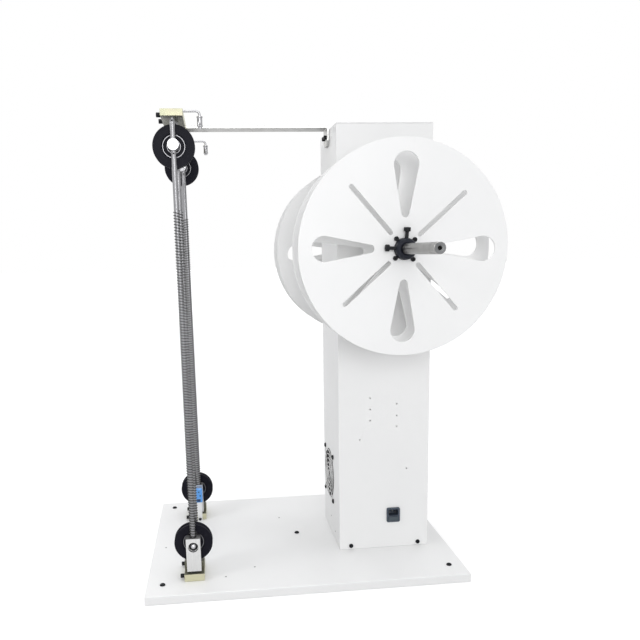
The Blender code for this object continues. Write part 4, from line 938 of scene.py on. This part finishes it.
def make_spindle(prefix, side):
    """The two discs, the shaft with its fixed flange, the clamp hub, and the screws of both."""
    spot = ((COLUMN_X, 0.0, AXIS_Z), (0, side, 0))
    make_disc(prefix + "back_disc", prefix + "inner_disc", side, BACK_DISC, HUB_BORE, BACK_DISC_TILT,
              SLOT_LEAD)
    low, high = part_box(prefix + "outer_hub")
    tip = max(abs(low.y), abs(high.y))
    make_disc(prefix + "clamp_disc", prefix + "outer_disc", side, CLAMP_DISC, CLAMP_DISC_BORE,
              CLAMP_DISC_TILT, -SLOT_LEAD)

    seat = BACK_DISC - SEAT_BEHIND
    boss, flange = seat - BACK_BOSS_LENGTH, seat - FLANGE_THICK
    profile = [(0.0, SHAFT_START), (SHAFT_RADIUS, SHAFT_START), (SHAFT_RADIUS, boss),
               (BACK_BOSS_RADIUS, boss), (BACK_BOSS_RADIUS, flange), (FLANGE_RADIUS, flange),
               (FLANGE_RADIUS, seat), (SHAFT_RADIUS, seat), (SHAFT_RADIUS, SHAFT_END),
               (END_HOLE_MOUTH, SHAFT_END), (END_HOLE, END_HOLE_BEVEL), (END_HOLE, END_HOLE_FLOOR),
               (0.0, END_HOLE_FLOOR)]
    shaft = turned(prefix + "spindle_shaft", SHAFT_STEEL, prefix + "spindle", profile,
                   [spot], ROUND, SHAFT_EASE, replaces=(prefix + "shaft",))
    other_faces(shaft, END_STEEL, lambda normal: abs(normal.y) > END_ON)

    seat = CLAMP_DISC - SEAT_BEHIND
    profile = ring(HUB_BORE, FLANGE_RADIUS, seat - FLANGE_THICK, seat)
    profile[3:] = [(HUB_RADIUS, seat)] + [(radius, tip - behind) for radius, behind in HUB_BEVEL]
    turned(prefix + "clamp_hub", DARK_TURNED, prefix + "clamp", profile, [spot], ROUND,
           HUB_EASE, replaces=(prefix + "outer_hub",))
    for kind, disc, body in (("clamp", CLAMP_DISC, "clamp"), ("back", BACK_DISC, "spindle")):
        spots = []
        for lean in HUB_SCREW_LEANS:
            x, z = HUB_SCREW_CIRCLE * cos(radians(lean)), HUB_SCREW_CIRCLE * sin(radians(lean))
            spots.append((side_point(side, COLUMN_X + x, disc + DISC_HALF, AXIS_Z + z), spot[1]))
        set_screws(prefix + kind + "_hub_screws", CAP_M5, spots, prefix + body)
    spots = []
    for lean in CLAMP_SCREW_LEANS:
        way = Vector((cos(radians(lean)), 0, sin(radians(lean))))
        middle = Vector(side_point(side, COLUMN_X, tip - CLAMP_SCREW_DEPTH, AXIS_Z))
        spots.append((middle + way * CLAMP_SCREW_REACH, way))
    set_screws(prefix + "clamp_screws", CAP_CLAMP, spots, prefix + "clamp")


def make_blades():
    """The fan's blades as a mesh of their own, each drawn out from its root in twisted steps."""
    bm = bmesh.new()
    for k in range(BLADES):
        before = set(bm.verts)
        root = Matrix.Translation((0, 0, BLADE_ROOT)) @ Matrix.Rotation(BLADE_PITCH, 4, "Z")
        place = root @ Matrix.Diagonal((BLADE_THICK, BLADE_CHORD, 1, 1))
        bmesh.ops.create_grid(bm, x_segments=1, y_segments=1, size=0.5, matrix=place)
        section = newer(bm, before)
        for _ in range(BLADE_STEPS):
            section = extend(bm, section, Vector((0, 0, BLADE_STEP)))
            for angle, axis in ((BLADE_TWIST, "Z"), (BLADE_SWEEP, "X")):
                bmesh.ops.rotate(bm, cent=(0, 0, 0), matrix=Matrix.Rotation(angle, 3, axis), verts=section)
        middle = ((ROTOR_FRONT + ROTOR_BACK) / 2, FAN_Y, FAN_Z)
        turn = Matrix.Translation(middle) @ Matrix.Rotation(2 * pi * k / BLADES, 4, "X")
        bmesh.ops.transform(bm, matrix=turn, verts=newer(bm, before))
    bmesh.ops.recalc_face_normals(bm, faces=bm.faces)
    return as_mesh("blades", bm)


def make_fan():
    """Housing, impeller, wire guard and screws of the cooling fan."""
    rounded("fan_frame", "fan_housing", BLACK_PLASTIC, width=0.0006)
    bm = bmesh.new()
    lathe(bm, full(ROTOR_HUB, 0.0, ROTOR_BACK - ROTOR_FRONT), (ROTOR_FRONT, FAN_Y, FAN_Z), (1, 0, 0),
          RING_ROUND, ROTOR_EASE)
    bm.from_mesh(make_blades())
    add_piece("fan_impeller", bm, BLACK_PLASTIC, "fan", ("fan_rotor",))

    guard_x = COLUMN_LEFT - GUARD_WIRE - GUARD_GAP
    bm = bmesh.new()
    for radius in GUARD_RINGS:
        hoop(bm, (guard_x, FAN_Y, FAN_Z), radius, GUARD_WIRE)
    for lean in SPOKE_LEANS:
        way = (0, cos(radians(lean)), sin(radians(lean)))
        rod(bm, (guard_x - SPOKE_SHIFT, FAN_Y, FAN_Z), way, -SPOKE_HALF, SPOKE_HALF, GUARD_WIRE, SPOKE_SIDES)
    add_piece("fan_guard", bm, BRIGHT_TURNED, "stand")
    spots = [((COLUMN_LEFT - GUARD_GAP, FAN_Y + a * FAN_SCREW_REACH, FAN_Z + b * FAN_SCREW_REACH), LEFT)
             for a in (-1, 1) for b in (-1, 1)]
    set_screws("fan_screws", BUTTON_M6, spots)


def hoop(bm, centre, radius, thick):
    """A closed ring of round wire, square to the X axis."""
    before = set(bm.verts)
    first = circle(bm, thick, GUARD_RING_SIDES, Matrix.Translation((0, radius, 0)))
    spun(bm, first, (0, 0, 0), (1, 0, 0), GUARD_RING_STEPS)
    bmesh.ops.remove_doubles(bm, verts=newer(bm, before), dist=MERGE)
    bmesh.ops.translate(bm, vec=centre, verts=newer(bm, before))


def round_corners(bm, width, steps):
    """Round the edges of a box that run into the column."""
    edges = [e for e in bm.edges if abs(e.verts[0].co.y - e.verts[1].co.y) > UPRIGHT_EDGE]
    bmesh.ops.bevel(bm, geom=edges, offset=width, segments=steps, profile=0.5, affect="EDGES", material=-1)


def make_inlet():
    """The power inlet with its pins in the socket, and the fuse drawer in its bay below."""
    low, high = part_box("power_inlet")
    x, z = (low.x + high.x) / 2, (low.z + high.z) / 2
    half_w, half_h = (high.x - low.x) / 2, (high.z - low.z) / 2
    front = low.y

    def band(bm, half, heights, near, far):
        box(bm, (x - half, near, z + heights[0]), (x + half, far, z + heights[1]))

    bm = bmesh.new()
    band(bm, half_w, (-half_h, half_h), front, front + RIM_DEPTH)
    round_corners(bm, RIM_CORNER, RIM_CORNER_STEPS)
    shell = bmesh.new()
    inset = half_h - SHELL_INSET
    band(shell, half_w - SHELL_INSET, (-inset, inset), front + SHELL_START, high.y)
    bm = carved(bm, shell, "UNION")
    tool = bmesh.new()
    band(tool, SOCKET_HALF, SOCKET_HEIGHTS, front - CUT_AHEAD, front + SOCKET_DEPTH)
    round_corners(tool, SOCKET_CORNER, SOCKET_CORNER_STEPS)
    band(tool, BAY_HALF, BAY_HEIGHTS, front - CUT_AHEAD, front + BAY_DEPTH)
    bm = carved(bm, tool)
    soften(bm, width=0.0004)
    add_piece("inlet_housing", bm, NAVY_PLASTIC, "stand", ("power_inlet",))
    bm = bmesh.new()
    for dx, dz in PIN_SPOTS:
        px, pz = x + dx, z + PIN_MIDDLE + dz
        box(bm, (px - PIN_HALF_WIDTH, front + PIN_TIP, pz - PIN_HALF_HEIGHT),
            (px + PIN_HALF_WIDTH, front + PIN_ROOT, pz + PIN_HALF_HEIGHT))
    soften(bm, width=0.0005)
    add_piece("inlet_pins", bm, END_STEEL, "stand")
    low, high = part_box("fuse_drawer")
    bm = bmesh.new()
    band(bm, TRAY_HALF, TRAY_HEIGHTS, low.y, high.y)
    tool = bmesh.new()
    band(tool, NOTCH_HALF, NOTCH_HEIGHTS, low.y - NOTCH_AHEAD, low.y + NOTCH_DEPTH)
    bm = carved(bm, tool)
    soften(bm, width=0.0003)
    add_piece("fuse_tray", bm, DRAWER_PLASTIC, "fuse_holder", ("fuse_drawer",))


def make_inside():
    """Finishes of the pieces inside the column, whose solids stay as they are."""
    dress("power_supply", GALVANISED)
    dress("control_board", BOARD)
    finishes = {"bulkhead": GALVANISED, "motor": MOTOR_PAINT, "belt": RUBBER, "spindle_pulley": MILLED,
                "motor_pulley": MILLED, "wall_bearing": BRIGHT_TURNED, "inner_bearing": BRIGHT_TURNED}
    for prefix, _ in SIDES:
        for node, look in finishes.items():
            dress(prefix + node, look)


def bare_tree(owner):
    """The empty node tree of a material or a world."""
    owner.use_nodes = True
    owner.node_tree.nodes.clear()
    return owner.node_tree


def seen_or_lit(tree):
    """1 for rays that see the backdrop directly, in a mirror or through glass, and 0 for the rest."""
    rays = wire(tree, "LightPath")
    total = rays["Is Camera Ray"]
    for name in ("Is Glossy Ray", "Is Transmission Ray"):
        total = wire(tree, "Math", {0: total, 1: rays[name]}, operation="MAXIMUM")[0]
    return total


def make_floor():
    """A pale floor that takes the shadow and glows to white far out."""
    bm = bmesh.new()
    bmesh.ops.create_grid(bm, x_segments=1, y_segments=1, size=FLOOR_HALF,
                          matrix=Matrix.Translation((0, 0, FLOOR_DROP)))
    mesh = as_mesh("floor", bm)
    floor = bpy.data.objects.new("floor", mesh)
    scene.collection.objects.link(floor)
    made = bpy.data.materials.new("pale_floor")
    tree = bare_tree(made)
    lit = wire(tree, "BsdfDiffuse", {"Color": FLOOR_COLOUR})[0]
    place = wire(tree, "TexCoord")["Object"]
    away = wire(tree, "VectorMath", {0: place}, operation="LENGTH")["Value"]
    values = {"Value": away, "From Min": GLOW_FROM, "From Max": GLOW_TO, "To Min": FLOOR_GLOW,
              "To Max": FULL_GLOW}
    rise = wire(tree, "MapRange", values)[0]
    strength = wire(tree, "Math", {0: seen_or_lit(tree), 1: rise}, operation="MULTIPLY")[0]
    glow = wire(tree, "Emission", {"Color": WHITE, "Strength": strength})[0]
    both = wire(tree, "AddShader", {0: lit, 1: glow})[0]
    wire(tree, "OutputMaterial", {"Surface": both})
    mesh.materials.append(made)


def make_world():
    """A soft even light, which is plain white where it is seen or mirrored."""
    world = bpy.data.worlds.new("studio")
    scene.world = world
    tree = bare_tree(world)
    light = wire(tree, "Background", {"Color": WORLD_COLOUR, "Strength": WORLD_LIGHT})[0]
    plain = wire(tree, "Background", {"Color": WHITE, "Strength": 1.0})[0]
    mix = wire(tree, "MixShader", {0: seen_or_lit(tree), 1: light, 2: plain})[0]
    wire(tree, "OutputWorld", {"Surface": mix})


def make_lamp(name, place, aim, size, power):
    lamp = bpy.data.lights.new(name, "AREA")
    lamp.shape = "DISK"
    lamp.size = size
    lamp.energy = power
    item = bpy.data.objects.new(name, lamp)
    item.location = place
    item.rotation_euler = (Vector(aim) - Vector(place)).to_track_quat("-Z", "Y").to_euler()
    scene.collection.objects.link(item)


def make_camera():
    """The photograph's own view point, fitted to the stand's edges and corners."""
    camera = bpy.data.cameras.new("camera")
    camera.lens = CAMERA_LENS
    camera.sensor_width = CAMERA_SENSOR
    camera.sensor_fit = "HORIZONTAL"
    camera.shift_x = CAMERA_SHIFT_X
    camera.shift_y = CAMERA_SHIFT_Y
    camera.clip_end = CAMERA_FAR
    item = bpy.data.objects.new("camera", camera)
    turn = Matrix((Vector(CAMERA_RIGHT), Vector(CAMERA_UP), -Vector(CAMERA_FORWARD))).transposed().to_4x4()
    item.matrix_world = Matrix.Translation(CAMERA_PLACE) @ turn
    scene.collection.objects.link(item)
    scene.camera = item


make_base()
make_column()
make_top()
make_fan()
make_inlet()
make_inside()
for tower_name, tower_side in SIDES:
    make_tower(tower_name, tower_side)
    make_sensor(tower_name, tower_side)
    make_guide(tower_name, tower_side)
    make_spindle(tower_name, tower_side)
make_floor()
make_world()
for lamp_values in LAMPS:
    make_lamp(*lamp_values)
make_camera()
scene.view_settings.view_transform = "Standard"
